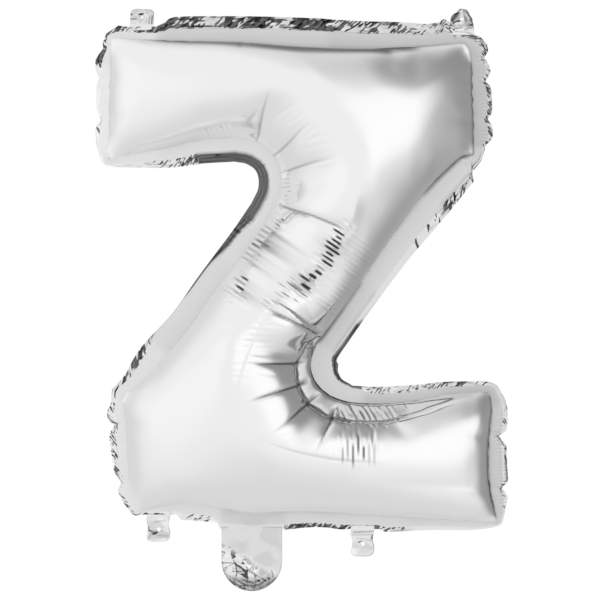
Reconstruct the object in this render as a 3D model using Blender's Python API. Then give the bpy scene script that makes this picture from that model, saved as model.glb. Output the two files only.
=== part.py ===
"""A foil letter balloon, the letter Z, inflated, at its real size.

The letter stands in the XZ plane and is read from the front, looking along +Y.
The origin is the point that the balloon hangs from: midway between the eyelets
of its two top tabs, in the plane of the seam. Stations and sizes are in
millimetres; meshes are in metres.

Two dished film panels meet at a flat seam that runs round the letter. Outside
the panels both films lie flat on each other as the seam flange, which is built
run by run. The filling neck crosses the flange at the bottom and carries the
tail. Four tabs with eyelets stand on the flange.
"""

import math

import bmesh
import bpy
import numpy as np
from mathutils import Matrix, Vector
from mathutils.geometry import delaunay_2d_cdt

MM = 0.001

# Thicknesses. The real film is about 0.04 mm, so each of these stands for it.
PANEL_WALL = 2.0
FLANGE_FILM = 1.0
TAIL_FILM = 0.7
VALVE_FILM = 0.6
GAP = 0.3

# The inflated form
SEAL_OVERLAP = 3.0  # how far the flange reaches in between the two panels
SEAL_TAPER = 6.0  # over this length at a run's ends it reaches in less, clear of the next run
DEPTH_SHARE = 0.96  # the arms' depth over that of a round tube
ROUND_TUBE = 2.0  # the load whose membrane over a strip is a half circle, squared

# Where the film is gathered and stands lower: x, z, how far round it reaches, and
# the share of the squared height that is lost there
DRAWN_IN = (
    (-26, -103, 40, 0.90),  # round the left notch
    (15, -240, 37, 0.90),  # round the right notch
    (-141, -65, 62, 0.79),  # the upper arm's end
    (124, -56, 70, 0.69),  # the upper right corner
    (-131, -293, 70, 0.71),  # the lower left corner
    (137, -285, 67, 0.62),  # the lower arm's end
)

# Spacing of points
SEAM_STEP = 7.5
FLANGE_STEP = 3.6
GRID_STEP = 12.0
INNER_GRID_STEP = 16.0
OUTER_RINGS = (1.2, 4.0, 9.0)  # insets from the seam, close together where the film is steep
INNER_RINGS = (1.2, 6.0)

# Tabs
TAB_WIDTH = 16.0
TAB_LENGTH = 17.5
TAB_CORNER = 4.0
EYELET_RADIUS = 1.6
EYELET_FROM_ROOT = 9.0
TAB_ROOT_REACH = 0.4  # past the fold line, towards the flange
FOLD_TO_FLANGE = 1.1  # from a tab's fold line to the flange's edge
RECESS_SIDE = 4.5  # the flange is cut back this far past each side of a tab

# The tail and its neck
TAIL_X = -33.0
TAIL_WIDTH = 41.5
TAIL_LENGTH = 40.4
TAIL_FOLD_Z = -351.4
TAIL_FOLD_TO_NECK = 2.1
VALVE_WIDTH = 26.0
VALVE_LENGTH = 31.0
VALVE_REACH = 1.4  # past the tail's fold line, towards the neck

# Pinches, where a gathered end draws the flange's edge in
PINCH_HALF_WIDTH = 3.2

# The seam, clockwise from the top left as seen from the front. Each station is
# x, z and the flange's width there; a run's end is the next run's start.
SEAM = {
    "flange_top": (
        (-130.0, -12.5, 4.0),
        (-121.0, -13.2, 10.0),
        (-96.0, -14.5, 10.5),
        (-86.0, -15.0, 16.0),
        (-41.0, -16.0, 17.5),
        (0.0, -19.0, 19.5),
        (41.0, -20.5, 19.0),
        (75.5, -19.0, 16.5),
        (93.0, -17.8, 13.0),
        (113.0, -16.0, 8.0),
    ),
    "flange_upper_right_end": (
        (113.0, -16.0, 8.0),
        (116.5, -21.0, 12.0),
        (118.0, -32.0, 12.5),
        (118.0, -50.0, 13.0),
        (119.0, -69.0, 13.0),
        (119.0, -83.0, 12.5),
        (119.0, -93.0, 7.0),
    ),
    "flange_right_slope": (
        (119.0, -93.0, 7.0),
        (111.5, -94.5, 16.0),
        (101.5, -103.0, 19.0),
        (81.0, -124.0, 21.5),
        (58.0, -156.5, 18.0),
        (34.0, -192.0, 16.0),
        (16.5, -217.0, 16.0),
    ),
    "flange_right_notch": (
        (16.5, -217.0, 16.0),
        (9.5, -226.0, 17.5),
        (7.0, -236.5, 19.0),
        (10.5, -248.5, 18.0),
        (20.5, -258.0, 14.5),
        (34.0, -262.5, 11.5),
    ),
    "flange_lower_arm_top": (
        (34.0, -262.5, 11.5),
        (55.0, -263.5, 11.5),
        (82.0, -261.0, 10.5),
        (99.5, -257.5, 9.0),
        (130.0, -255.0, 7.0),
    ),
    "flange_lower_right_end": (
        (130.0, -255.0, 7.0),
        (131.5, -266.5, 10.5),
        (129.5, -288.5, 12.0),
        (129.0, -309.0, 13.0),
        (131.0, -326.0, 12.0),
        (135.5, -344.0, 4.0),
    ),
    "flange_bottom_right": (
        (135.5, -344.0, 4.0),
        (116.5, -344.0, 6.0),
        (89.0, -342.0, 8.0),
        (48.0, -340.0, 11.5),
        (13.5, -337.5, 10.5),
        (-11.0, -337.5, 12.5),
    ),
    "filling_neck": (
        (-11.0, -337.5, 12.5),
        (-33.0, -339.0, 12.5),
        (-53.5, -335.5, 10.0),
    ),
    "flange_bottom_left": (
        (-53.5, -335.5, 10.0),
        (-72.0, -332.0, 11.5),
        (-92.5, -333.5, 9.5),
        (-111.5, -337.0, 4.0),
    ),
    "flange_lower_left_end": (
        (-111.5, -337.0, 4.0),
        (-116.0, -324.0, 8.0),
        (-118.0, -305.5, 10.0),
        (-119.0, -285.0, 11.5),
        (-121.0, -264.5, 11.5),
        (-122.5, -258.0, 8.0),
    ),
    "flange_left_slope": (
        (-122.5, -258.0, 8.0),
        (-109.5, -250.5, 13.0),
        (-96.0, -235.5, 16.5),
        (-75.5, -211.5, 15.5),
        (-55.0, -182.0, 15.0),
        (-34.0, -155.0, 15.5),
        (-20.5, -133.5, 14.5),
    ),
    "flange_left_notch": (
        (-20.5, -133.5, 14.5),
        (-14.5, -120.0, 14.5),
        (-13.5, -105.0, 15.5),
        (-19.0, -92.0, 16.5),
        (-31.0, -83.5, 17.0),
        (-44.5, -81.0, 17.0),
    ),
    "flange_upper_arm_underside": (
        (-44.5, -81.0, 17.0),
        (-68.5, -83.0, 16.5),
        (-89.0, -88.0, 14.0),
        (-116.5, -93.0, 9.0),
        (-132.0, -96.0, 5.0),
    ),
    "flange_upper_left_end": (
        (-132.0, -96.0, 5.0),
        (-131.0, -79.5, 9.0),
        (-130.5, -48.5, 9.0),
        (-130.0, -28.0, 10.0),
        (-130.0, -12.5, 4.0),
    ),
}

# Along the four ends, the height of each pinch and how deep it cuts
PINCHES = {
    "flange_upper_right_end": ((-28.4, 4.0), (-42.1, 4.0), (-69.5, 3.5), (-87.0, 3.0)),
    "flange_lower_right_end": ((-285.6, 5.5), (-323.3, 5.0)),
    "flange_lower_left_end": ((-315.8, 4.0), (-278.0, 4.5), (-262.0, 3.0)),
    "flange_upper_left_end": ((-68.8, 4.0), (-40.4, 2.5), (-21.0, 3.0)),
}


class Tab:
    """One hanging tab: where its fold line is, which way it points, and its lean back."""

    def __init__(self, name, centre_x, fold_z, up, lean_deg):
        self.name = name
        self.centre_x = centre_x
        self.fold_z = fold_z
        self.up = up
        self.lean_deg = lean_deg

    def edge_z(self):
        """The height of the flange's edge that the tab folds on."""
        return self.fold_z - self.up * FOLD_TO_FLANGE

    def covers(self, x):
        """Whether the flange's edge is cut back at x for this tab."""
        return abs(x - self.centre_x) < TAB_WIDTH / 2 + RECESS_SIDE


TABS = {
    "flange_top": (
        Tab("tab_top_left", -108.5, -4.2, 1, 49.0),
        Tab("tab_top_right", 111.0, -7.5, 1, 33.0),
    ),
    "flange_bottom_left": (Tab("tab_bottom_left", -97.0, -340.5, -1, 0.0),),
    "flange_bottom_right": (Tab("tab_bottom_right", 42.8, -350.5, -1, 0.0),),
}


def clear_scene():
    """Removes whatever the scene held."""
    for found in list(bpy.data.objects):
        bpy.data.objects.remove(found, do_unlink=True)


def film_material(name, colour, roughness):
    """A metallised film."""
    material = bpy.data.materials.new(name)
    material.use_nodes = True
    shader = material.node_tree.nodes["Principled BSDF"]
    shader.inputs["Base Color"].default_value = (*colour, 1.0)
    shader.inputs["Metallic"].default_value = 1.0
    shader.inputs["Roughness"].default_value = roughness
    return material


def spline(stations, step):
    """Points about step apart on a smooth curve through the stations."""
    knots = np.array(stations, float)
    padded = np.vstack([2 * knots[0] - knots[1], knots, 2 * knots[-1] - knots[-2]])
    points = []
    for i in range(1, len(padded) - 2):
        before, start, end, after = padded[i - 1 : i + 3]
        length = np.linalg.norm((end - start)[:2])
        for t in np.linspace(0, 1, max(2, round(length / step) + 1))[:-1]:
            points.append(
                0.5
                * (
                    2 * start
                    + (end - before) * t
                    + (2 * before - 5 * start + 4 * end - after) * t**2
                    + (3 * start - before - 3 * end + after) * t**3
                )
            )
    points.append(padded[-2])
    return np.array(points)


def seam_loop(step):
    """The whole seam as points x, z and flange width, with the index each run starts at."""
    starts, loops = {}, []
    count = 0
    for name, stations in SEAM.items():
        starts[name] = count
        run = spline(stations, step)[:-1]
        loops.append(run)
        count += len(run)
    return np.vstack(loops), starts


def outward(loop):
    """Unit vectors out of a clockwise loop, along the bisector at each point."""
    ahead = np.roll(loop, -1, axis=0) - loop
    behind = loop - np.roll(loop, 1, axis=0)
    ahead /= np.linalg.norm(ahead, axis=1)[:, None]
    behind /= np.linalg.norm(behind, axis=1)[:, None]
    along = ahead + behind
    along /= np.linalg.norm(along, axis=1)[:, None]
    return np.stack([-along[:, 1], along[:, 0]], axis=1)


def inset(loop, distance):
    """The loop moved in by distance, square to each of its sides."""
    normals = outward(loop)
    ahead = np.roll(loop, -1, axis=0) - loop
    ahead /= np.linalg.norm(ahead, axis=1)[:, None]
    side = np.stack([-ahead[:, 1], ahead[:, 0]], axis=1)
    mitre = (normals * side).sum(1)
    return loop - normals * (distance / np.maximum(mitre, 0.6))[:, None]


def distance_to(loop, points):
    """How far each point lies from the loop's sides."""
    start, along = loop, np.roll(loop, -1, axis=0) - loop
    offset = points[:, None, :] - start[None]
    share = (offset * along).sum(2) / (along * along).sum(1)
    nearest = np.clip(share, 0, 1)[:, :, None] * along
    return np.linalg.norm(offset - nearest, axis=2).min(1)


def inside(loop, points):
    """Whether each point lies inside the loop, by crossings."""
    a, b = loop, np.roll(loop, -1, axis=0)
    x, z = points[:, 0][:, None], points[:, 1][:, None]
    crosses = (a[:, 1] > z) != (b[:, 1] > z)
    rise = np.where(b[:, 1] == a[:, 1], 1e-9, b[:, 1] - a[:, 1])
    at = a[:, 0] + (z - a[:, 1]) * (b[:, 0] - a[:, 0]) / rise
    return (crosses & (x < at)).sum(1) % 2 == 1


def triangulated(loop, rings, grid_step):
    """Points and triangles over the loop's inside; the loop's own points come first."""
    points = [loop]
    for distance in rings:
        ring = inset(loop, distance)
        clear = distance_to(loop, ring) > 0.9 * distance
        points.append(ring[clear & inside(loop, ring)])
    low, high = loop.min(0), loop.max(0)
    rows = np.arange(low[1], high[1], grid_step * math.sqrt(3) / 2)
    grid = [
        (x, z)
        for row, z in enumerate(rows)
        for x in np.arange(low[0] + grid_step / 2 * (row % 2), high[0], grid_step)
    ]
    grid = np.array(grid)
    clear = distance_to(loop, grid) > rings[-1] + 0.5 * grid_step
    points.append(grid[clear & inside(loop, grid)])
    points = np.vstack(points)
    made = delaunay_2d_cdt(
        [Vector(p) for p in points], [], [list(range(len(loop)))], 1, 1e-6
    )
    flat, triangles, sources = made[0], made[2], made[3]
    order = np.zeros(len(flat), int)
    for new, old in enumerate(sources):
        order[new] = old[0]
    return points, order[np.array(triangles)]


def dome_height(points, triangles, rim):
    """The height of an inflated film over its outline, held at the first rim points.

    The square of the height is a membrane's deflection under an even load, so that
    a long straight arm comes out round in section. It is lower where the film is
    drawn in.
    """
    corner = points[triangles]
    edge = np.roll(corner, -1, axis=1) - np.roll(corner, 1, axis=1)
    double_area = np.abs(
        edge[:, 0, 0] * edge[:, 1, 1] - edge[:, 0, 1] * edge[:, 1, 0]
    )
    stiffness = np.zeros((len(points), len(points)))
    load = np.zeros(len(points))
    for i in range(3):
        np.add.at(load, triangles[:, i], ROUND_TUBE * double_area / 6)
        for j in range(3):
            shared = (edge[:, i] * edge[:, j]).sum(1) / (2 * double_area)
            np.add.at(stiffness, (triangles[:, i], triangles[:, j]), shared)
    squared = np.zeros(len(points))
    squared[rim:] = np.linalg.solve(stiffness[rim:, rim:], load[rim:])
    for x, z, reach, lost in DRAWN_IN:
        near = ((points - (x, z)) ** 2).sum(1) / reach**2
        squared *= 1 - lost * np.exp(-near)
    return DEPTH_SHARE * np.sqrt(np.maximum(squared, 0))


def object_from(name, mesh_builder, material, smooth_deg=None):
    """An object from a bmesh in millimetres, with its faces turned outwards."""
    bmesh.ops.recalc_face_normals(mesh_builder, faces=mesh_builder.faces)
    bmesh.ops.scale(mesh_builder, vec=(MM, MM, MM), verts=mesh_builder.verts)
    mesh = bpy.data.meshes.new(name)
    mesh_builder.to_mesh(mesh)
    mesh_builder.free()
    if smooth_deg is not None:
        mesh.shade_smooth()
        mesh.set_sharp_from_angle(angle=math.radians(smooth_deg))
    mesh.materials.append(material)
    made = bpy.data.objects.new(name, mesh)
    bpy.context.scene.collection.objects.link(made)
    return made


def panel(name, side, material):
    """A dished panel of film; side is -1 for the front and 1 for the back."""
    seam = seam_loop(SEAM_STEP)[0][:, :2]
    rim = len(seam)
    rim_y = FLANGE_FILM / 2 + GAP
    builder = bmesh.new()
    skins = []
    for loop, rings, step in (
        (seam, OUTER_RINGS, GRID_STEP),
        (inset(seam, PANEL_WALL), INNER_RINGS, INNER_GRID_STEP),
    ):
        points, triangles = triangulated(loop, rings, step)
        height = dome_height(points, triangles, rim)
        verts = [
            builder.verts.new((p[0], side * (rim_y + h), p[1]))
            for p, h in zip(points, height)
        ]
        for triangle in triangles:
            builder.faces.new([verts[k] for k in triangle])
        skins.append(verts)
    outer, inner = skins
    for k in range(rim):
        after = (k + 1) % rim
        builder.faces.new((outer[k], outer[after], inner[after], inner[k]))
    return object_from(name, builder, material, smooth_deg=50)


def pinch_depth(name, z):
    """How far the flange's edge is drawn in at height z of a gathered end."""
    return sum(
        depth * math.exp(-(((z - at) / PINCH_HALF_WIDTH) ** 2))
        for at, depth in PINCHES.get(name, ())
    )


def flange_edge(name, point, normal, width, is_end):
    """The flange's outer edge at one station, cut straight where a tab or the tail folds."""
    edge = point + normal * (width - pinch_depth(name, point[1]))
    if name == "filling_neck":
        edge[1] = TAIL_FOLD_Z + TAIL_FOLD_TO_NECK
    for tab in TABS.get(name, ()):
        if tab.covers(edge[0]) and not is_end:
            edge[1] = tab.edge_z()
    return edge


def flange_run(name, material):
    """One run of the flat double film outside the panels."""
    loop, starts = seam_loop(FLANGE_STEP)
    normals = outward(loop[:, :2])
    names = list(SEAM)
    begin = starts[name]
    following = names[(names.index(name) + 1) % len(names)]
    end = starts[following] or len(loop)
    picked = [k % len(loop) for k in range(begin, end + 1)]
    points, widths = loop[picked, :2].copy(), loop[picked, 2]
    directions = normals[picked]
    for here, beside in ((0, 1), (-1, -2)):
        along = points[beside] - points[here]
        points[here] += along / np.linalg.norm(along) * GAP * 0.6
    steps = np.linalg.norm(np.diff(points, axis=0), axis=1)
    run = np.concatenate([[0], np.cumsum(steps)])
    from_end = np.minimum(run, run[-1] - run)
    reach = SEAL_OVERLAP * np.minimum(1, (from_end + 1) / SEAL_TAPER)
    builder = bmesh.new()
    sections = []
    for k, (point, direction, width) in enumerate(zip(points, directions, widths)):
        edge = flange_edge(name, point, direction, width, k in (0, len(points) - 1))
        root = point - direction * reach[k]
        sections.append(
            [
                builder.verts.new((p[0], y, p[1]))
                for p, y in (
                    (root, -FLANGE_FILM / 2),
                    (edge, -FLANGE_FILM / 2),
                    (edge, FLANGE_FILM / 2),
                    (root, FLANGE_FILM / 2),
                )
            ]
        )
    for first, second in zip(sections, sections[1:]):
        for k in range(4):
            after = (k + 1) % 4
            builder.faces.new((first[k], first[after], second[after], second[k]))
    builder.faces.new(sections[0])
    builder.faces.new(reversed(sections[-1]))
    bmesh.ops.triangulate(builder, faces=builder.faces)
    return object_from(name, builder, material)


def plate(outline, holes, low_y, high_y):
    """A flat plate from an outline in x and z, with round holes through it."""
    loops = [outline, *holes]
    points = [Vector(p) for loop in loops for p in loop]
    edges = []
    count = 0
    for loop in loops:
        edges += [
            (count + k, count + (k + 1) % len(loop)) for k in range(len(loop))
        ]
        count += len(loop)
    made = delaunay_2d_cdt(points, edges, [], 2, 1e-6)
    flat, triangles = made[0], made[2]
    hole_centres = [sum((Vector(p) for p in hole), Vector((0, 0))) / len(hole) for hole in holes]
    builder = bmesh.new()
    verts = [builder.verts.new((p.x, low_y, p.y)) for p in flat]
    for triangle in triangles:
        middle = sum((flat[k] for k in triangle), Vector((0, 0))) / len(triangle)
        if any((middle - centre).length < EYELET_RADIUS * 0.9 for centre in hole_centres):
            continue
        builder.faces.new([verts[k] for k in triangle])
    grown = bmesh.ops.extrude_face_region(builder, geom=list(builder.faces))
    moved = [g for g in grown["geom"] if isinstance(g, bmesh.types.BMVert)]
    bmesh.ops.translate(builder, vec=(0, high_y - low_y, 0), verts=moved)
    return builder


def arc(centre, radius, start_deg, end_deg, count):
    """Points on a circle, from one angle to the other."""
    return [
        (
            centre[0] + radius * math.cos(math.radians(a)),
            centre[1] + radius * math.sin(math.radians(a)),
        )
        for a in np.linspace(start_deg, end_deg, count)
    ]


def tab_outline():
    """A tab pointing up from its fold line at the origin, with round outer corners."""
    half, corner = TAB_WIDTH / 2, TAB_CORNER
    return [
        (half, -TAB_ROOT_REACH),
        *arc((half - corner, TAB_LENGTH - corner), corner, 0, 90, 5),
        *arc((corner - half, TAB_LENGTH - corner), corner, 90, 180, 5),
        (-half, -TAB_ROOT_REACH),
    ]


def build_tab(tab, material):
    """A tab with its eyelet; its origin is on its fold line."""
    eyelet = arc((0, EYELET_FROM_ROOT), EYELET_RADIUS, 0, 360, 13)[:-1]
    builder = plate(tab_outline(), [eyelet], -FLANGE_FILM / 2, FLANGE_FILM / 2)
    turn = Matrix.Rotation(math.radians(-tab.lean_deg), 3, "X")
    if tab.up < 0:
        turn = turn @ Matrix.Rotation(math.pi, 3, "Y")
    bmesh.ops.rotate(builder, cent=(0, 0, 0), matrix=turn, verts=builder.verts)
    made = object_from(tab.name, builder, material)
    made.location = (tab.centre_x * MM, 0, tab.fold_z * MM)
    return made


def tongue(width, length, reach, points_round):
    """A strip hanging from z = reach, with a round lower end, its tip at -length."""
    half = width / 2
    return [
        (-half, reach),
        *arc((0, half - length), half, 180, 360, points_round),
        (half, reach),
    ]


def build_tail(film, valve):
    """The two films of the tail with the valve film between them, on one fold line."""
    hinge = bpy.data.objects.new("tail_hinge", None)
    hinge.location = (TAIL_X * MM, 0, TAIL_FOLD_Z * MM)
    bpy.context.scene.collection.objects.link(hinge)
    near = VALVE_FILM / 2 + GAP
    skin = tongue(TAIL_WIDTH, TAIL_LENGTH, 0, 17)
    strip = tongue(VALVE_WIDTH, VALVE_LENGTH, VALVE_REACH, 13)
    for name, outline, low_y, high_y, material in (
        ("tail_front_film", skin, -near - TAIL_FILM, -near, film),
        ("tail_back_film", skin, near, near + TAIL_FILM, film),
        ("valve_film", strip, -VALVE_FILM / 2, VALVE_FILM / 2, valve),
    ):
        made = object_from(name, plate(outline, [], low_y, high_y), material)
        made.parent = hinge


def main():
    """Builds every piece of the balloon."""
    clear_scene()
    panel_film = film_material("panel_film", (0.86, 0.865, 0.87), 0.12)
    sealed_film = film_material("sealed_film", (0.78, 0.785, 0.79), 0.32)
    valve_film = film_material("valve_film", (0.70, 0.71, 0.72), 0.4)
    panel("front_panel", -1, panel_film)
    panel("back_panel", 1, panel_film)
    for name in SEAM:
        flange_run(name, sealed_film)
    for tabs in TABS.values():
        for tab in tabs:
            build_tab(tab, sealed_film)
    build_tail(panel_film, valve_film)


main()
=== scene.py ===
"""Looks of a silver foil balloon, the letter Z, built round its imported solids.

The letter stands in the XZ plane and is read along +Y. Lengths are in
millimetres until a mesh is made, which is in metres. The outline of the seam
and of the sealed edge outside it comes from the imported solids.

Two films are inflated by a cloth simulation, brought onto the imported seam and
creased where the letter's inner corners gather them. The sealed edge, the
filling neck and tail, and the four tabs are crumpled sheets of the same film.
"""

import logging
import math
from collections import Counter
from dataclasses import dataclass
from enum import Enum
from functools import cache

import bmesh
import bpy
import numpy as np
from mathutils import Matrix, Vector
from mathutils.bvhtree import BVHTree
from mathutils.geometry import delaunay_2d_cdt


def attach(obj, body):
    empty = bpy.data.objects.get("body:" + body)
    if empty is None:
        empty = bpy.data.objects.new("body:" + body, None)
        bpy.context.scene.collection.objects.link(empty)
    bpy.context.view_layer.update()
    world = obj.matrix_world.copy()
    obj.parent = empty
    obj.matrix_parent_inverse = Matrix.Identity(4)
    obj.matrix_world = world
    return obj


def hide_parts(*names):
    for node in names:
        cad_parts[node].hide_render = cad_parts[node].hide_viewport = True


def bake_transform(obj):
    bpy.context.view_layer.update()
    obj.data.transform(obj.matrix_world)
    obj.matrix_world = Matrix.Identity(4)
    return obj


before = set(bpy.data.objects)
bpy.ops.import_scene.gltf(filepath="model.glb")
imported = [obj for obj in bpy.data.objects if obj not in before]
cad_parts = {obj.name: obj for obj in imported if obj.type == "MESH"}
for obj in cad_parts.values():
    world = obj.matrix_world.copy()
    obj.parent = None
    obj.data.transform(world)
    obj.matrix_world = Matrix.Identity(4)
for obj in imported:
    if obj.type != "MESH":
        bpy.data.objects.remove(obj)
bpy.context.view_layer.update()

MM = 0.001
LOG = logging.getLogger("foil_balloon")
Array = np.ndarray
Place = tuple[float, float]
Socket = bpy.types.NodeSocket


def in_parts(points: Array, size: int = 400) -> list[Array]:
    """The points in parts that are small enough to compare with a whole outline."""
    return np.array_split(points, max(1, len(points) // size))


def distance_to(loop: Array, points: Array) -> Array:
    """How far each point lies from a closed line.

    Args:
        loop: The line's points, (n, 2).
        points: The points to measure, (m, 2).

    Returns:
        The m distances.
    """
    start, along = loop, np.roll(loop, -1, axis=0) - loop
    length_squared = (along * along).sum(1)
    found = []
    for part in in_parts(points):
        offset = part[:, None, :] - start[None]
        share = np.clip((offset * along).sum(2) / length_squared, 0, 1)
        gap = offset - share[:, :, None] * along
        found.append(np.sqrt((gap * gap).sum(2).min(1)))
    return np.concatenate(found)


def inside(loop: Array, points: Array) -> Array:
    """Whether each point lies inside a closed line, by crossings.

    Args:
        loop: The line's points, (n, 2).
        points: The points to test, (m, 2).

    Returns:
        m truth values.
    """
    a, b = loop, np.roll(loop, -1, axis=0)
    rise = np.where(b[:, 1] == a[:, 1], 1e-9, b[:, 1] - a[:, 1])
    x, z = points[:, 0][:, None], points[:, 1][:, None]
    crosses = (a[:, 1] > z) != (b[:, 1] > z)
    at = a[:, 0] + (z - a[:, 1]) * (b[:, 0] - a[:, 0]) / rise
    return (crosses & (x < at)).sum(1) % 2 == 1


def outward(loop: Array) -> Array:
    """Unit vectors out of a clockwise closed line, along the bisector at each point.

    Args:
        loop: The line's points, (n, 2).

    Returns:
        The n vectors.
    """
    ahead = np.roll(loop, -1, axis=0) - loop
    along = unit(unit(ahead) + unit(np.roll(ahead, 1, axis=0)))
    return np.stack([-along[:, 1], along[:, 0]], axis=1)


def rounded(values: Array, passes: int) -> Array:
    """Values round a closed line, each drawn towards its neighbours.

    Args:
        values: A value, or a row of them, for each of the line's points.
        passes: How many times they are drawn.

    Returns:
        The evened values.
    """
    for _ in range(passes):
        values = 0.5 * values + 0.25 * (np.roll(values, 1, 0) + np.roll(values, -1, 0))
    return values


def run_length(points: Array) -> Array:
    """The length along an open line up to each of its points."""
    steps = np.linalg.norm(np.diff(points, axis=0), axis=1)
    return np.concatenate([[0], np.cumsum(steps)])


def resampled(step: float, loop: Array, *others: Array) -> list[Array]:
    """A closed line with its points evenly spaced, and values that go with it.

    Args:
        step: The spacing wanted.
        loop: The line's points.
        others: Arrays with a row for each of the line's points.

    Returns:
        The new line, then the others at the new points.
    """
    closed = np.vstack([loop, loop[:1]])
    run = run_length(closed)
    at = np.linspace(0, run[-1], round(run[-1] / step) + 1)[:-1]
    found = []
    for values in (loop, *others):
        columns = values.reshape(len(values), -1)
        columns = np.vstack([columns, columns[:1]])
        made = np.stack([np.interp(at, run, column) for column in columns.T], axis=1)
        found.append(made.reshape(len(at), *values.shape[1:]))
    return found


def hex_points(loop: Array, step: float) -> Array:
    """Points of a triangular grid inside a closed line.

    Args:
        loop: The line's points, (n, 2).
        step: The grid's spacing.

    Returns:
        The points, (m, 2).
    """
    low, high = loop.min(0), loop.max(0)
    rows = np.arange(low[1], high[1], step * math.sqrt(3) / 2)
    grid = [
        (x, z)
        for k, z in enumerate(rows)
        for x in np.arange(low[0] + step / 2 * (k % 2), high[0], step)
    ]
    grid = np.array(grid)
    kept = [inside(loop, part) for part in in_parts(grid, 2000)]
    return grid[np.concatenate(kept)]


def triangulated(points: Array, rim: int) -> Array:
    """Triangles over points that begin with their closed outline.

    Args:
        points: The points, (n, 2).
        rim: How many of them lie on the outline.

    Returns:
        The triangles, as rows of point numbers.
    """
    made = delaunay_2d_cdt([Vector(p) for p in points.tolist()], [], [list(range(rim))], 1, 1e-6)
    order = np.zeros(len(made[0]), int)
    for new, old in enumerate(made[3]):
        order[new] = old[0]
    return order[np.array(made[2])]


def crossed(a: Array, b: Array) -> Array:
    """The signed area between vectors of a plane."""
    return a[..., 0] * b[..., 1] - a[..., 1] * b[..., 0]


def unit(vectors: Array) -> Array:
    """Vectors of length 1 along the given ones."""
    return vectors / np.maximum(np.linalg.norm(vectors, axis=1), 1e-12)[:, None]


def summed(rows: Array, values: Array, count: int) -> Array:
    """The sum of the values that are given to each of a count of rows."""
    return np.stack([np.bincount(rows, column, count) for column in values.T], axis=1)


def face_normals(points: Array, triangles: Array) -> Array:
    """The normal of each triangle, as long as twice its area."""
    a, b, c = (points[triangles[:, k]] for k in range(3))
    return np.cross(b - a, c - a)


def point_normals(points: Array, triangles: Array) -> Array:
    """The unit normal of a surface at each of its points.

    Args:
        points: The surface's points, (n, 3).
        triangles: Its triangles.

    Returns:
        The n normals.
    """
    normals = face_normals(points, triangles)
    return unit(sum(summed(triangles[:, k], normals, len(points)) for k in range(3)))


def edges_of(triangles: Array) -> Array:
    """The edges of triangles, each once."""
    pairs = np.concatenate([triangles[:, [0, 1]], triangles[:, [1, 2]], triangles[:, [2, 0]]])
    return np.unique(np.sort(pairs, axis=1), axis=0)


def spread(values: Array, edges: Array) -> Array:
    """The mean of each point's neighbours over the edges.

    Args:
        values: A row for each point.
        edges: Pairs of point numbers.

    Returns:
        A row for each point.
    """
    a, b = edges.T
    size = len(values)
    count = np.bincount(a, minlength=size) + np.bincount(b, minlength=size)
    total = summed(a, values[b], size) + summed(b, values[a], size)
    return total / np.maximum(count, 1)[:, None]


def smoothstep(values: Array, low: float, high: float) -> Array:
    """0 up to low, 1 from high, and a smooth rise in between."""
    share = np.clip((values - low) / (high - low), 0, 1)
    return share * share * (3 - 2 * share)


class Slot(Enum):
    """The record's material slots."""

    PANEL = "panel_film"
    SEALED = "sealed_film"
    TAB = "tab_film"
    TAIL = "tail_film"
    VALVE = "valve_film"


class Body(Enum):
    """The record's bodies."""

    ENVELOPE = "envelope"
    TOP_LEFT_TAB = "top_left_tab"
    TOP_RIGHT_TAB = "top_right_tab"
    BOTTOM_LEFT_TAB = "bottom_left_tab"
    BOTTOM_RIGHT_TAB = "bottom_right_tab"
    TAIL = "tail"


class Wiring:
    """Nodes added to a tree, each set and wired as it is made."""

    def __init__(self, tree: bpy.types.NodeTree) -> None:
        """Keeps the tree that the nodes are added to."""
        self.tree = tree

    def put(self, value: object, taker: Socket) -> None:
        """Wires a socket to the taker, or sets the taker to a value.

        Args:
            value: The other node's socket, or the value.
            taker: The input that takes it.
        """
        if isinstance(value, Socket):
            self.tree.links.new(value, taker)
        else:
            taker.default_value = value

    def node(
        self, kind: str, inputs: dict[str | int, object] | None = None, **settings: object
    ) -> bpy.types.Node:
        """Adds a node.

        Args:
            kind: Its class.
            inputs: What each input takes, by the input's name or number.
            settings: The node's own settings.

        Returns:
            The node.
        """
        made = self.tree.nodes.new(kind)
        for name, value in settings.items():
            setattr(made, name, value)
        for key, value in (inputs or {}).items():
            self.put(value, made.inputs[key])
        return made

    def socket(
        self, kind: str, output: str, inputs: dict[str | int, object] | None = None, **settings: object
    ) -> Socket:
        """Adds a node and gives one of its outputs."""
        return self.node(kind, inputs, **settings).outputs[output]

    def attribute(self, name: str, output: str = "Fac") -> Socket:
        """A point attribute of the mesh."""
        return self.socket("ShaderNodeAttribute", output, attribute_name=name)

    def sum(self, operation: str, *given: object) -> Socket:
        """A sum on sockets or numbers."""
        return self.socket("ShaderNodeMath", "Value", dict(enumerate(given)), operation=operation)

    def vector(self, operation: str, *given: object) -> Socket:
        """A sum on vectors."""
        inputs = dict(enumerate(given))
        return self.socket("ShaderNodeVectorMath", "Vector", inputs, operation=operation)

    def ranged(self, value: object, low: float, high: float) -> Socket:
        """A value from 0 to 1 brought between two others."""
        given = {"Value": value, "To Min": low, "To Max": high}
        return self.socket("ShaderNodeMapRange", "Result", given)

    def stepped(
        self, value: object, low: float, high: float, first: float = 0.0, last: float = 1.0
    ) -> Socket:
        """A smooth step from the first level to the last, as the value goes from low to high."""
        given = {"Value": value, "From Min": low, "From Max": high, "To Min": first, "To Max": last}
        return self.socket("ShaderNodeMapRange", "Result", given, interpolation_type="SMOOTHSTEP")

    def mixed(self, share: object, first: object, second: object) -> Socket:
        """Two colours mixed, with that share of the second."""
        given = {"Factor": share, "A": first, "B": second}
        return self.socket("ShaderNodeMix", "Result", given, data_type="RGBA")


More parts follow.
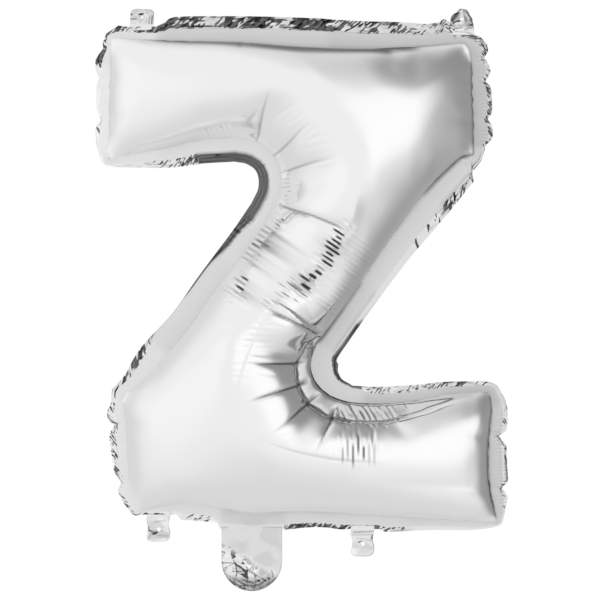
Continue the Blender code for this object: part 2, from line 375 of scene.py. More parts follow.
@dataclass(frozen=True)
class Shards:
    """Long flat slivers that a film's fine crumples break its mirror image into.

    Each sliver is tilted its own way. A point attribute named shards is the share
    of them that are painted dark, a painted reflection of the dark they would face;
    darkest and least_dark are the colour shares of that painted dark. They run at
    turn_deg to the letter's x axis or, on the sealed edge, to the seam.
    """

    length_mm: float
    width_mm: float
    turn_deg: float
    along_seam: bool = False
    tilt: float = 0.5
    darkest: float = 0.04
    least_dark: float = 0.8

    def cells(self, wiring: Wiring) -> Socket:
        """The slivers' own chance values.

        Args:
            wiring: The material's nodes.

        Returns:
            The colour socket that holds them.
        """
        if self.along_seam:
            flat = wiring.socket("ShaderNodeUVMap", "UV", uv_map="seam")
        else:
            place = wiring.socket("ShaderNodeTexCoord", "Object")
            parts = wiring.node("ShaderNodeSeparateXYZ", {0: place})
            pair = {"X": parts.outputs["X"], "Y": parts.outputs["Z"]}
            flat = wiring.socket("ShaderNodeCombineXYZ", "Vector", pair)
        layout = {
            "Vector": flat,
            "Rotation": (0, 0, math.radians(self.turn_deg)),
            "Scale": (self.length_mm * MM, self.width_mm * MM, 1),
        }
        turned = wiring.socket("ShaderNodeMapping", "Vector", layout, vector_type="TEXTURE")
        scattered = {"Scale": 1.0, "Vector": turned}
        return wiring.socket("ShaderNodeTexVoronoi", "Color", scattered, voronoi_dimensions="2D")

    def darkness(self, wiring: Wiring, cells: Socket, share: Socket) -> Socket:
        """How much painted shade each sliver has, from 0 to 1.

        Args:
            wiring: The material's nodes.
            cells: The slivers' chance values.
            share: The share of them that are dark.

        Returns:
            The socket that the darkness comes from.
        """
        chance = wiring.node("ShaderNodeSeparateColor", {"Color": cells})
        dark = wiring.sum("LESS_THAN", chance.outputs["Red"], share)
        depth = wiring.ranged(chance.outputs["Green"], self.least_dark, 1.0)
        return wiring.sum("MULTIPLY", dark, depth)

    def tilted(self, wiring: Wiring, cells: Socket, share: Socket, normal: Socket) -> Socket:
        """The normal with each sliver tilted its own way.

        Args:
            wiring: The material's nodes.
            cells: The slivers' chance values.
            share: How crumpled the film is.
            normal: The film's own normal.

        Returns:
            The socket that the tilted normal comes from.
        """
        centred = wiring.vector("SUBTRACT", cells, (0.5, 0.5, 0.5))
        given = {0: centred, "Scale": wiring.sum("MULTIPLY", share, self.tilt)}
        scaled = wiring.socket("ShaderNodeVectorMath", "Vector", given, operation="SCALE")
        return wiring.vector("NORMALIZE", wiring.vector("ADD", normal, scaled))


class FoldCoreShade:
    """The painted shade in the cores of rows of folds that are finer than the mesh.

    A point attribute named folds holds, for each point, how many folds across its
    row it is, how far along its fold over the fold's half length, and how much
    painted shade the row has. Each fold's core is shifted along it, and has a
    length and a painted darkness, by chance. It tapers on one side of the row's line.
    """

    CORE = (0.12, 0.34)
    REACH = (0.3, 1.0)
    SHIFT = 0.9
    LENGTH = (0.4, 1.1)
    DARK = (0.35, 1.25)
    TAPER = -0.6

    @classmethod
    def darkness(cls, wiring: Wiring) -> Socket:
        """How much painted shade each place has, from 0 to 1.

        Args:
            wiring: The material's nodes.

        Returns:
            The socket that the darkness comes from.
        """
        parts = wiring.node("ShaderNodeSeparateXYZ", {0: wiring.attribute("folds", "Vector")})
        number, reach, dark = (parts.outputs[k] for k in "XYZ")
        draw = {"W": wiring.sum("FLOOR", number)}
        drawn = wiring.socket("ShaderNodeTexWhiteNoise", "Color", draw, noise_dimensions="1D")
        chance = wiring.node("ShaderNodeSeparateColor", {"Color": drawn})
        middle = wiring.sum("SUBTRACT", wiring.sum("FRACT", number), 0.5)
        core = wiring.stepped(wiring.sum("ABSOLUTE", middle), *cls.CORE, 1.0, 0.0)
        shift = wiring.ranged(chance.outputs["Green"], -cls.SHIFT / 2, cls.SHIFT / 2)
        length = wiring.ranged(chance.outputs["Blue"], *cls.LENGTH)
        along = wiring.sum("DIVIDE", wiring.sum("SUBTRACT", reach, shift), length)
        along = wiring.sum("MAXIMUM", along, wiring.sum("MULTIPLY", along, cls.TAPER))
        whole = wiring.sum("MULTIPLY", core, wiring.stepped(along, *cls.REACH, 1.0, 0.0))
        strength = wiring.sum("MULTIPLY", dark, wiring.ranged(chance.outputs["Red"], *cls.DARK))
        return wiring.sum("MINIMUM", wiring.sum("MULTIPLY", whole, strength), 1.0)


@dataclass(frozen=True)
class FilmFinish:
    """A metallised film's surface.

    A point attribute named shade, from 0 to 1, is painted shade that darkens the
    film's colour along its creases and heat-seal lines.
    """

    name: str
    colour: tuple[float, float, float]
    roughness: float
    roughness_range: float
    crinkle_mm: float
    crinkle_size_mm: float
    hatch_mm: float = 0.0
    hatch_size_mm: float = 1.0
    # The share of the colour left under full painted shade
    shaded: float = 0.25
    shards: Shards | None = None
    fold_core_shade: bool = False
    cloud_size: float = 5.0
    noise_detail: float = 2.0
    hatch_turns_deg: tuple[float, float] = (45.0, -45.0)

    def toned(self, share: float) -> tuple[float, ...]:
        """The film's colour with a share of its light."""
        return (*(channel * share for channel in self.colour), 1.0)

    @cache
    def material(self) -> bpy.types.Material:
        """The finish as nodes on Object coordinates.

        Returns:
            The material, which is made once.
        """
        made = bpy.data.materials.new(self.name)
        made.use_nodes = True
        wiring = Wiring(made.node_tree)
        place = wiring.socket("ShaderNodeTexCoord", "Object")
        # Painted shade, from the shade attribute and the fold cores, darkens the colour
        painted_shade = wiring.attribute("shade")
        if self.fold_core_shade:
            painted_shade = wiring.sum("MAXIMUM", painted_shade, FoldCoreShade.darkness(wiring))
        colour = wiring.mixed(painted_shade, self.toned(1.0), self.toned(self.shaded))
        clouds = self.noise(wiring, place, self.crinkle_size_mm * self.cloud_size)
        half = self.roughness_range / 2
        gloss = wiring.ranged(clouds, self.roughness - half, self.roughness + half)
        fine = self.noise(wiring, place, self.crinkle_size_mm)
        normal = self.bump(wiring, fine, self.crinkle_mm)
        for turn in self.hatch_turns_deg if self.hatch_mm else ():
            normal = self.bump(wiring, self.hatch(wiring, place, turn), self.hatch_mm, normal)
        # Dark slivers are painted reflections of the dark, mixed into the colour; their tilt is a bump
        # of the normal
        if self.shards:
            share = wiring.attribute("shards")
            cells = self.shards.cells(wiring)
            dark = self.shards.darkness(wiring, cells, share)
            colour = wiring.mixed(dark, colour, self.toned(self.shards.darkest))
            normal = self.shards.tilted(wiring, cells, share, normal)
        shader = made.node_tree.nodes["Principled BSDF"]
        given = {"Metallic": 1.0, "Roughness": gloss, "Base Color": colour, "Normal": normal}
        for name, value in given.items():
            wiring.put(value, shader.inputs[name])
        return made

    def noise(self, wiring: Wiring, place: Socket, size_mm: float) -> Socket:
        """Cloudy noise of a size."""
        given = {"Scale": 1 / (size_mm * MM), "Detail": self.noise_detail, "Vector": place}
        return wiring.socket("ShaderNodeTexNoise", "Fac", given)

    def hatch(self, wiring: Wiring, place: Socket, turn_deg: float) -> Socket:
        """The fine lines that the sealing bar presses in.

        Args:
            wiring: The material's nodes.
            place: The coordinates to read.
            turn_deg: The lines' direction in the seam plane.

        Returns:
            The socket that the lines' height comes from.
        """
        layout = {"Vector": place, "Rotation": (0, math.radians(turn_deg), 0)}
        turned = wiring.socket("ShaderNodeMapping", "Vector", layout)
        given = {"Scale": 1 / (self.hatch_size_mm * MM) / math.pi, "Vector": turned}
        return wiring.socket("ShaderNodeTexWave", "Fac", given)

    @staticmethod
    def bump(wiring: Wiring, height: Socket, depth_mm: float, before: Socket | None = None) -> Socket:
        """A relief over the surface.

        Args:
            wiring: The material's nodes.
            height: The relief, from 0 to 1.
            depth_mm: Its depth.
            before: The normal before it; the mesh's own if left out.

        Returns:
            The socket that the normal comes from.
        """
        given = {"Distance": depth_mm * MM, "Height": height}
        if before is not None:
            given["Normal"] = before
        return wiring.socket("ShaderNodeBump", "Normal", given)


PANEL_FINISH = FilmFinish(
    "bright_panel_film", (0.93, 0.932, 0.935), 0.17, 0.05, 0.012, 1.6,
    shaded=0.06, fold_core_shade=True,
)
BAND_FINISH = FilmFinish("heat_sealed_film", (0.95, 0.952, 0.955), 0.42, 0.08, 0.02, 1.2, 0.035, 1.3)
LOOSE_FINISH = FilmFinish(
    "loose_edge_film", (0.9, 0.903, 0.906), 0.14, 0.05, 0.02, 1.5,
    shaded=0.05, shards=Shards(7.5, 1.7, 38.0, True, 0.9),
)
TAIL_FINISH = FilmFinish(
    "tail_film", (0.9, 0.903, 0.906), 0.18, 0.05, 0.02, 1.5,
    shaded=0.05, shards=Shards(2.6, 1.4, -32.0, tilt=1.1),
)
TAB_FINISH = FilmFinish(
    "tab_film", (0.88, 0.883, 0.886), 0.24, 0.08, 0.02, 1.5,
    shaded=0.1, shards=Shards(3.4, 1.3, 20.0, tilt=1.1),
)
VALVE_FINISH = FilmFinish("valve_film", (0.70, 0.71, 0.72), 0.35, 0.1, 0.02, 1.5)


def placed(name: str, data: bpy.types.ID) -> bpy.types.Object:
    """A new object at the origin, in the scene."""
    made = bpy.data.objects.new(name, data)
    bpy.context.scene.collection.objects.link(made)
    return made


def result_mesh(made: bpy.types.Object) -> bpy.types.Mesh:
    """What an object's modifiers make of it."""
    depsgraph = bpy.context.evaluated_depsgraph_get()
    return bpy.data.meshes.new_from_object(made.evaluated_get(depsgraph), depsgraph=depsgraph)


def piece(
    name: str,
    points: Array,
    faces: Array | list,
    finishes: list[FilmFinish],
    shade: Array | None = None,
    face_finish: Array | None = None,
    sharp_deg: float | None = None,
    shards: Array | None = None,
) -> bpy.types.Object:
    """A mesh object at the origin from points in millimetres.

    Args:
        name: The piece's name.
        points: Its points, (n, 3), in millimetres.
        faces: Its faces as rows of point numbers.
        finishes: Its finishes, in the order that face_finish counts them.
        shade: How much painted shade each point has, from 0 to 1.
        face_finish: The finish number of each face.
        sharp_deg: Edges that turn more than this are sharp; none if left out.
        shards: The share of painted dark slivers at each point, from 0 to 1.

    Returns:
        The object, linked into the scene.
    """
    mesh = bpy.data.meshes.new(name)
    mesh.from_pydata((points * MM).tolist(), [], [list(map(int, f)) for f in faces])
    mesh.shade_smooth()
    if sharp_deg is not None:
        mesh.set_sharp_from_angle(angle=math.radians(sharp_deg))
    for finish in finishes:
        mesh.materials.append(finish.material())
    if face_finish is not None:
        mesh.polygons.foreach_set("material_index", np.asarray(face_finish, np.int32))
    for attribute, given in (("shade", shade), ("shards", shards)):
        values = np.zeros(len(points)) if given is None else np.clip(given, 0, 1)
        made = mesh.attributes.new(attribute, "FLOAT", "POINT")
        made.data.foreach_set("value", values.astype(np.float32))
    return placed(name, mesh)


def hand_over(made: bpy.types.Object, slot: Slot, *replaced: str) -> None:
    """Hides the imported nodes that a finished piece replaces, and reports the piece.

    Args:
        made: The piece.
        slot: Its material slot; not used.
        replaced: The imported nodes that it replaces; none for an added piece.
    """
    if replaced:
        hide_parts(*replaced)
    LOG.info("%s: %d faces", made.name, len(made.data.polygons))


def bend_between(made: bpy.types.Object) -> None:
    """Bakes a piece's placement into its mesh."""
    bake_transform(made)


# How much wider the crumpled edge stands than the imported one, from each seam place
# on: it's drawn up beside the top right tab
WIDER = (
    ((84, -18.4), 0),
    ((90, -18), 1),
    ((96, -17.5), 3),
    ((101, -17), 7),
    ((104, -17), 6.5),
    ((107.5, -17), 0),
)


@dataclass
class SeamPlan:
    """The letter's outline in the seam plane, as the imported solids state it.

    Its points run clockwise as seen from the front, from the top left corner.
    """

    points: Array
    normals: Array
    widths: Array

    FLAT_MM = 0.01
    EDGE_CLEAR_MM = 2.5
    WIDEST_MM = 26.0
    START = (-130.0, -12.5)

    @classmethod
    def from_frame(cls, step: float) -> "SeamPlan":
        """Reads the seam from the front panel's rim and the widths from the flange.

        Args:
            step: The spacing of the points.

        Returns:
            The outline with its outward normals and flange widths.
        """
        panel = cls.welded("front_panel")
        rim_y = max(v.co.y for v in panel.verts)
        rim = [f for f in panel.faces if all(abs(v.co.y - rim_y) < cls.FLAT_MM * MM for v in f.verts)]
        seam = max(cls.borders(rim), key=lambda loop: run_length(loop)[-1])
        panel.free()
        if crossed(seam, np.roll(seam, -1, axis=0)).sum() > 0:
            seam = seam[::-1]
        first = np.linalg.norm(seam - np.array(cls.START), axis=1).argmin()
        seam = resampled(step, np.roll(seam, -first, axis=0))[0]
        seam = rounded(seam, 2)
        normals = outward(seam)
        sides = cls.flange_sides(seam)
        widths = np.array([cls.reach(p, n, sides) for p, n in zip(seam, normals)])
        known = ~np.isnan(widths)
        at = np.arange(len(seam))
        widths = np.interp(at, at[known], widths[known], period=len(seam))
        plan = cls(seam, normals, widths)
        knots = [plan.nearest(place) for place, _ in WIDER]
        plan.widths += np.interp(at, knots, [more for _, more in WIDER])
        return plan

    @staticmethod
    def welded(node: str) -> bmesh.types.BMesh:
        """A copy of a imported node's mesh with its doubles merged.

        Args:
            node: The node's name.

        Returns:
            The mesh, which the caller frees.
        """
        builder = bmesh.new()
        builder.from_mesh(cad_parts[node].data)
        bmesh.ops.remove_doubles(builder, verts=builder.verts, dist=1e-6)
        return builder

    @staticmethod
    def borders(faces: list[bmesh.types.BMFace]) -> list[Array]:
        """The closed lines round a set of faces, as x and z in millimetres.

        Args:
            faces: The faces.

        Returns:
            Each line's points in order.
        """
        count = Counter(e for f in faces for e in f.edges)
        left = {e for e, n in count.items() if n == 1}
        loops = []
        while left:
            edge = left.pop()
            here, first = edge.verts[1], edge.verts[0]
            loop = [first]
            while here is not first:
                loop.append(here)
                edge = next(e for e in here.link_edges if e in left)
                left.remove(edge)
                here = edge.other_vert(here)
            loops.append(np.array([(v.co.x, v.co.z) for v in loop]) / MM)
        return loops

    @classmethod
    def flange_sides(cls, seam: Array) -> Array:
        """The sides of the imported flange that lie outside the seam.

        Args:
            seam: The seam's points.

        Returns:
            The two ends of each side, (n, 2, 2).
        """
        sides = []
        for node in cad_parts:
            if not (node.startswith("flange") or node == "filling_neck"):
                continue
            run = cls.welded(node)
            run.normal_update()
            front = [f for f in run.faces if f.normal.y < -0.9]
            for loop in cls.borders(front):
                sides.append(np.stack([loop, np.roll(loop, -1, axis=0)], axis=1))
            run.free()
        sides = np.concatenate(sides)
        ends = sides.reshape(-1, 2)
        out = (distance_to(seam, ends) > cls.EDGE_CLEAR_MM) & ~inside(seam, ends)
        return sides[out.reshape(-1, 2).all(1)]

    @classmethod
    def reach(cls, point: Array, normal: Array, sides: Array) -> float:
        """How far the flange reaches from a point of the seam.

        Args:
            point: The point.
            normal: The way out of the seam there.
            sides: The flange's sides.

        Returns:
            The width in millimetres, or NaN where no side lies that way.
        """
        start, along = sides[:, 0], sides[:, 1] - sides[:, 0]
        cross = crossed(normal, along)
        cross = np.where(np.abs(cross) < 1e-9, 1e-9, cross)
        offset = start - point
        far, share = crossed(offset, along) / cross, crossed(offset, normal) / cross
        hit = (share >= 0) & (share <= 1) & (far > 1) & (far < cls.WIDEST_MM)
        return float(far[hit].min()) if hit.any() else math.nan

    def nearest(self, place: Place) -> int:
        """The number of the seam point nearest to a place."""
        return int(np.linalg.norm(self.points - np.array(place), axis=1).argmin())

    def beside(self, places: Array) -> tuple[Array, Array]:
        """The seam points next to places of the seam plane.

        Args:
            places: The places, (n, 2).

        Returns:
            The number of the nearest point to each, and how far off it is.
        """
        found, gaps = [], []
        for part in in_parts(places):
            apart = ((part[:, None] - self.points[None]) ** 2).sum(2)
            found.append(apart.argmin(1))
            gaps.append(np.sqrt(apart.min(1)))
        return np.concatenate(found), np.concatenate(gaps)


@dataclass
class InflatedForm:
    """An inflated envelope: the flat pattern it was cut to, and where its films are."""

    pattern: Array
    triangles: Array
    rim: int
    front: Array
    back: Array
    seam_target: Array


@dataclass
class Inflation:
    """Gas let into two flat films that are sealed round their rim.

    The rim draws in as the films swell, so the flat pattern is corrected until
    the inflated rim lies on the wanted seam.
    """

    seam: Array
    coarse_step: float = 6.0
    final_step: float = 4.8
    allowance: float = 20.0
    corrections: int = 4
    coarse_frames: int = 20
    final_frames: int = 28
    correction_share: float = 0.7
    start_slope: float = 0.3
    start_reach: float = 20.0
    scale_up: float = 10.0
    quality: int = 6
    film_mass: float = 0.1
    stiffness: float = 200.0
    bending: float = 0.5
    damping: float = 10.0
    bending_damping: float = 0.5
    air_damping: float = 2.0
    pressure: float = 30.0

    def form(self) -> InflatedForm:
        """Corrects the pattern, then inflates it once more on finer triangles.

        Returns:
            The inflated films.
        """
        target = resampled(self.coarse_step, self.seam)[0]
        pattern = target + rounded(outward(target), 3) * self.allowance
        for _ in range(self.corrections):
            form = self.inflated(pattern, target, self.coarse_step, self.coarse_frames)
            shift = target - form.front[: form.rim][:, [0, 2]]
            LOG.info("seam off by %.1f mm", float(np.sqrt((shift**2).sum(1).mean())))
            pattern = pattern + self.correction_share * rounded(shift, 4)
        pattern, target = resampled(self.final_step, pattern, target)
        return self.inflated(pattern, target, self.final_step, self.final_frames)

    def inflated(self, pattern: Array, target: Array, step: float, frames: int) -> InflatedForm:
        """Inflates one pattern.

        Args:
            pattern: The flat outline.
            target: Where the outline should come to lie.
            step: The triangles' size.
            frames: How many frames of simulation to run.

        Returns:
            The inflated films.
        """
        rim = len(pattern)
        grid = hex_points(pattern, step)
        gap = distance_to(pattern, grid)
        grid, gap = grid[gap > 0.55 * step], gap[gap > 0.55 * step]
        flat = np.vstack([pattern, grid])
        triangles = triangulated(flat, rim)
        count = len(flat)
        rise = self.start_slope * np.minimum(gap, self.start_reach)
        front = np.stack([flat[:, 0], np.zeros(count), flat[:, 1]], axis=1)
        front[rim:, 1] = -rise
        back = front[rim:] * (1, -1, 1)
        behind = np.arange(count)
        behind[rim:] = np.arange(count, 2 * count - rim)
        if face_normals(front, triangles)[:, 1].sum() > 0:
            triangles = triangles[:, ::-1]
        faces = np.vstack([triangles, behind[triangles][:, ::-1]])
        places = self.simulated(np.vstack([front, back]), faces, frames)
        return InflatedForm(flat, triangles, rim, places[:count], places[behind], target)

    def simulated(self, points: Array, faces: Array, frames: int) -> Array:
        """Runs the cloth with pressure and gives back where its points come to.

        Args:
            points: The flat bag's points in millimetres.
            faces: Its triangles, facing out.
            frames: How many frames to run.

        Returns:
            The points after the last frame, in millimetres.
        """
        mesh = bpy.data.meshes.new("inflating")
        mesh.from_pydata((points * MM * self.scale_up).tolist(), [], faces.tolist())
        bag = placed("inflating", mesh)
        cloth = bag.modifiers.new("gas", "CLOTH")
        film = {
            "quality": self.quality,
            "mass": self.film_mass,
            "air_damping": self.air_damping,
            "bending_stiffness": self.bending,
            "bending_damping": self.bending_damping,
            "use_pressure": True,
            "uniform_pressure_force": self.pressure,
        }
        for way in ("tension", "compression", "shear"):
            film[way + "_stiffness"] = self.stiffness
            film[way + "_damping"] = self.damping
        for name, value in film.items():
            setattr(cloth.settings, name, value)
        cloth.settings.effector_weights.gravity = 0
        cloth.collision_settings.use_collision = False
        cloth.collision_settings.use_self_collision = False
        cloth.point_cache.frame_start = 1
        cloth.point_cache.frame_end = frames + 1
        for number in range(1, frames + 1):
            bpy.context.scene.frame_set(number)
        settled = bag.evaluated_get(bpy.context.evaluated_depsgraph_get())
        places = np.zeros(len(points) * 3)
        settled.data.vertices.foreach_get("co", places)
        bpy.data.objects.remove(bag)
        bpy.data.meshes.remove(mesh)
        bpy.context.scene.frame_set(1)
        return places.reshape(-1, 3) / MM / self.scale_up


@dataclass(frozen=True)
class Line:
    """An open line of points x and z, with the places of other points along it."""

    points: tuple[Place, ...]

    def locate(self, places: Array) -> tuple[Array, Array, float]:
        """Where places lie beside the line.

        Args:
            places: Points, (n, 2).

        Returns:
            The signed distance of each from the line, how far along the line its
            nearest point is, and the line's length.
        """
        knots = np.array(self.points)
        run = run_length(knots)
        best = np.full(len(places), 1e9)
        across, along = np.zeros(len(places)), np.zeros(len(places))
        for k, (start, end) in enumerate(zip(knots, knots[1:])):
            way = (end - start) / (run[k + 1] - run[k])
            offset = places - start
            reach = offset @ way
            held = np.clip(reach, 0, run[k + 1] - run[k])
            gap = np.linalg.norm(offset - held[:, None] * way, axis=1)
            side = np.sign(crossed(offset, way))
            closer = gap < best
            best = np.where(closer, gap, best)
            across = np.where(closer, gap * np.where(side == 0, 1, side), across)
            along = np.where(closer, run[k] + held, along)
        return across, along, float(run[-1])


@dataclass(frozen=True)
class Crease:
    """A sharp valley that runs along a line and fades towards its ends, with a line of painted shade
    along it.
    """

    line: Line
    depth: float
    width: float = 2.6
    fade_in: float = 4.0
    fade_out: float = 30.0
    shade: float = 0.5

    def share(self, places: Array) -> tuple[Array, Array]:
        """How far places are from the crease, and its strength beside them.

        Args:
            places: Places in the seam plane, (n, 2).

        Returns:
            The signed distance and the strength, for each place.
        """
        across, along, length = self.line.locate(places)
        strength = smoothstep(along, -0.1, self.fade_in)
        return across, strength * (1 - smoothstep(along, length - self.fade_out, length))

    def push(self, places: Array) -> Array:
        """How far the crease pushes the film outwards at each place."""
        across, strength = self.share(places)
        return -self.depth * strength * np.exp(-np.abs(across) / self.width)

    def crease_shade(self, places: Array) -> Array:
        """How much painted shade the crease puts on the film at each place."""
        across, strength = self.share(places)
        return self.shade * strength * np.exp(-((across / 0.7) ** 2))


@dataclass(frozen=True)
class Ridge:
    """A line beyond whose right side, going along it, the film falls away."""

    line: Line
    slope: float
    reach: float
    fade: float = 12.0

    def push(self, places: Array) -> Array:
        """How far the ridge pushes the film outwards.

        Args:
            places: Places in the seam plane, (n, 2).

        Returns:
            The push at each, in millimetres.
        """
        across, along, length = self.line.locate(places)
        strength = smoothstep(along, 0, self.fade)
        strength = strength * (1 - smoothstep(along, length - self.fade, length))
        beyond = np.maximum(across, 0)
        return -self.slope * strength * beyond * np.exp(-((beyond / self.reach) ** 2))


@dataclass(frozen=True)
class Folds:
    """Fine parallel folds that lie side by side across a line.

    Each fold runs in the given direction, to either side of the line, with its
    own length and depth.
    """

    line: Line
    direction_deg: float
    half_length: float
    spacing: float
    depth: float
    seed: int
    sharpness: float = 0.7
    # The last four fields are painted shade: how dark the fold cores are and how far along the folds it
    # reaches, and the shade before and beyond the row's line and how far it reaches
    dark: float = 0.0
    dark_length: float = 6.0
    shade_sides: tuple[float, float] = (0.0, 0.0)
    shade_reach: float = 9.0

    SWAY = 0.35
    SWAY_LENGTH = 17.0
    MARK_SWAY = 0.2
    ROW_NUMBERS = 100.0

    def row(self, places: Array) -> tuple[Array, Array, Array, float]:
        """Where places lie in the row.

        Args:
            places: Places in the seam plane, (n, 2).

        Returns:
            How far across the row each place is, how far along its fold from the
            line, how its fold sways there, from -1 to 1, and the row's width.
        """
        turn = math.radians(self.direction_deg)
        way = np.array([math.cos(turn), math.sin(turn)])
        side = np.array([-way[1], way[0]])
        knots = np.array(self.line.points)
        order = knots @ side
        if order[0] > order[-1]:
            knots, order = knots[::-1], order[::-1]
        rank, run = places @ side, places @ way
        offset = run - np.interp(rank, order, knots @ way)
        sway = np.sin(run / self.SWAY_LENGTH + self.seed)
        return rank - order[0], offset, sway, float(order[-1] - order[0])

    def core_shade(self, places: Array) -> Array:
        """What the film's finish reads of the folds, as FoldCoreShade says.

        Args:
            places: Places in the seam plane, (n, 2).

        Returns:
            The fold's number, the way along it and the painted darkness, (n, 3).
        """
        across, offset, sway, width = self.row(places)
        number = across / self.spacing + self.MARK_SWAY * sway
        reach = offset / self.dark_length
        within = smoothstep(across, -1.5, 0) * (1 - smoothstep(across, width, width + 1.5))
        dark = self.dark * within * (1 - smoothstep(np.abs(reach), 1.4, 2.0))
        return np.stack([number + self.ROW_NUMBERS * self.seed, reach, dark], axis=1)

    def shade_beside(self, places: Array) -> Array:
        """How much painted shade the film has beside the row, before the line and beyond it.

        Args:
            places: Places in the seam plane, (n, 2).

        Returns:
            The shade at each, from 0 to 1.
        """
        number, reach, _ = self.core_shade(places).T
        chance = np.random.default_rng(self.seed + 50).uniform(0.25, 1.0, 400)
        place = number - self.ROW_NUMBERS * self.seed
        whole = np.clip(np.floor(place).astype(int), -5, 380)
        blend = smoothstep(place - np.floor(place), 0.45, 1.0)
        level = (chance[whole + 6] * (1 - blend) + chance[whole + 7] * blend) ** 1.6
        away = reach * self.dark_length
        back, ahead = self.shade_sides
        side = np.where(away < 0, back, ahead)
        rise = smoothstep(np.abs(away), 0.0, 1.5) if back == 0 or ahead == 0 else 1.0
        fall = np.exp(-((np.abs(away) / self.shade_reach) ** 1.5))
        count = self.row(places)[3] / self.spacing
        within = smoothstep(place, -0.6, 0.6) * (1 - smoothstep(place, count - 0.6, count + 0.6))
        return side * level * rise * fall * within

    def push(self, places: Array) -> Array:
        """How far the folds push the film outwards.

        Args:
            places: Places in the seam plane, (n, 2).

        Returns:
            The push at each, in millimetres.
        """
        draw = np.random.default_rng(self.seed)
        across, offset, sway, width = self.row(places)
        number = across / self.spacing + self.SWAY * sway
        count = int(width / self.spacing) + 3
        whole = np.floor(number).astype(int)
        kept = np.clip(whole, 0, count - 1)
        depth = self.depth * draw.uniform(0.45, 1.15, count)[kept]
        length = self.half_length * draw.uniform(0.55, 1.25, count)[kept]
        shift = self.half_length * draw.uniform(-0.35, 0.35, count)[kept]
        within = (whole >= 0) & (whole < count - 1)
        faded = 1 - smoothstep(np.abs(offset - shift) / length, 0.45, 1.2)
        share = np.abs(number - whole - 0.5) * 2
        return -depth * np.where(within, faded, 0) * (1 - share**self.sharpness)


class Facets:
    """A crumpled sheet: flat triangles between scattered corners of random height."""

    def __init__(self, low: Place, high: Place, spacing: tuple[float, float], seed: int) -> None:
        """Scatters the corners over a box with a margin, and joins them.

        Args:
            low: The box's low corner.
            high: Its high corner.
            spacing: The corners' mean distance along each of its two sides.
            seed: The start of the chance.
        """
        draw = np.random.default_rng(seed)
        step = np.array(spacing)
        count = np.ceil((np.array(high) - low) / step).astype(int) + 5
        grid = np.stack(np.meshgrid(*(np.arange(n) for n in count), indexing="ij"), axis=-1)
        grid = grid.reshape(-1, 2) + draw.uniform(-0.42, 0.42, (count.prod(), 2))
        corners = np.array(low) + (grid - 2) * step
        self.heights = draw.uniform(-1, 1, len(corners))
        made = delaunay_2d_cdt([Vector(p) for p in corners.tolist()], [], [], 0, 1e-6)
        self.order = np.array([old[0] for old in made[3]])
        self.corners = np.array([tuple(p) for p in made[0]])
        self.triangles = np.array(made[2])
        flat = [(x, y, 0.0) for x, y in self.corners.tolist()]
        self.tree = BVHTree.FromPolygons(flat, self.triangles.tolist())
        self.chance = draw.uniform(0, 1, len(self.triangles))

    def at(self, places: Array) -> tuple[Array, Array, Array]:
        """The sheet at places.

        Args:
            places: The places, (n, 2).

        Returns:
            The height of each, from -1 to 1, its facet's chance value, and its border,
            which is 0 on a facet's edge and rises to a third in its middle.
        """
        found = [self.tree.find_nearest((x, y, 0.0))[2] for x, y in places.tolist()]
        corners = self.triangles[found]
        a, b, c = (self.corners[corners[:, k]] for k in range(3))
        shares = barycentric(places, a, b, c)
        heights = self.heights[self.order][corners]
        return (heights * shares).sum(1), self.chance[found], np.clip(shares, 0, 1).min(1)


def barycentric(places: Array, a: Array, b: Array, c: Array) -> Array:
    """The shares that the corners of triangles have in places on them.

    Args:
        places: A place for each triangle, (n, 2).
        a: The first corner of each.
        b: The second.
        c: The third.

    Returns:
        The shares, (n, 3).
    """
    ab, ac, ap = b - a, c - a, places - a
    area = crossed(ab, ac)
    area = np.where(np.abs(area) < 1e-12, 1e-12, area)
    second, third = crossed(ap, ac) / area, crossed(ab, ap) / area
    return np.stack([1 - second - third, second, third], axis=1)


def line(*points: Place) -> Line:
    """A line through the given points."""
    return Line(points)


# Where the letter's two inner corners gather the film, deep creases fan out from
# the corner into the film, each with a line of painted shade along it. All places
# are x and z in the seam plane.
LEFT_CORNER_CREASES = (
    Crease(line((-31, -85), (-28.8, -81.5), (-26, -69.2), (-23.3, -58.9), (-19.2, -45.9)), 2.8, 4.5),
    Crease(line((-20, -95), (-17.1, -93.2), (-10.3, -87.7), (0, -78.1), (8.2, -70.6)), 2.8, 4.5),
    Crease(line((-14.5, -105.5), (-10.3, -104.8), (0, -102.1), (13.7, -98.6), (26, -96.6)), 2.8, 4.5),
    Crease(
        line((-15.5, -126.5), (-10.3, -128.8), (6.9, -134.9), (24, -142.5), (36, -148)),
        3, 4, fade_out=16, shade=0.8,
    ),
    Crease(line((-13.8, -140), (-6.9, -132.2), (-2.1, -132.9), (6.9, -137)), 1.2, fade_out=8),
)
RIGHT_CORNER_CREASES = (
    Crease(
        line((8, -234.8), (0, -235.3), (-6.9, -235.3), (-24, -235), (-42.5, -234.3)),
        1.3, 1.9, fade_in=10, shade=1,
    ),
    Crease(
        line((10, -243.5), (8.2, -245.2), (0, -250), (-17.1, -254.8), (-37, -261.5)),
        1.3, 1.9, fade_in=10, fade_out=16, shade=1,
    ),
    Crease(
        line((17, -253.5), (11, -258.2), (3.4, -264.4), (-6.9, -273.3), (-22, -284.5)),
        1.6, 2, fade_in=10, shade=1,
    ),
    Crease(
        line((27, -261), (24, -266.5), (20.6, -274.7), (15.1, -285.6), (9, -298)),
        1.6, 2, fade_in=10, shade=1,
    ),
    Crease(
        line((15, -217.5), (10.3, -214.4), (0, -209.6), (-13.7, -202.1), (-28, -194.9)),
        2.2, fade_out=18, shade=0.9,
    ),
)
# A soft hollow along the lower arm, in from its end
LOWER_ARM_CREASES = (
    Crease(line((131, -319), (100, -319), (70, -317), (40, -313)), 1.7, 8, 6, 60, 0),
)
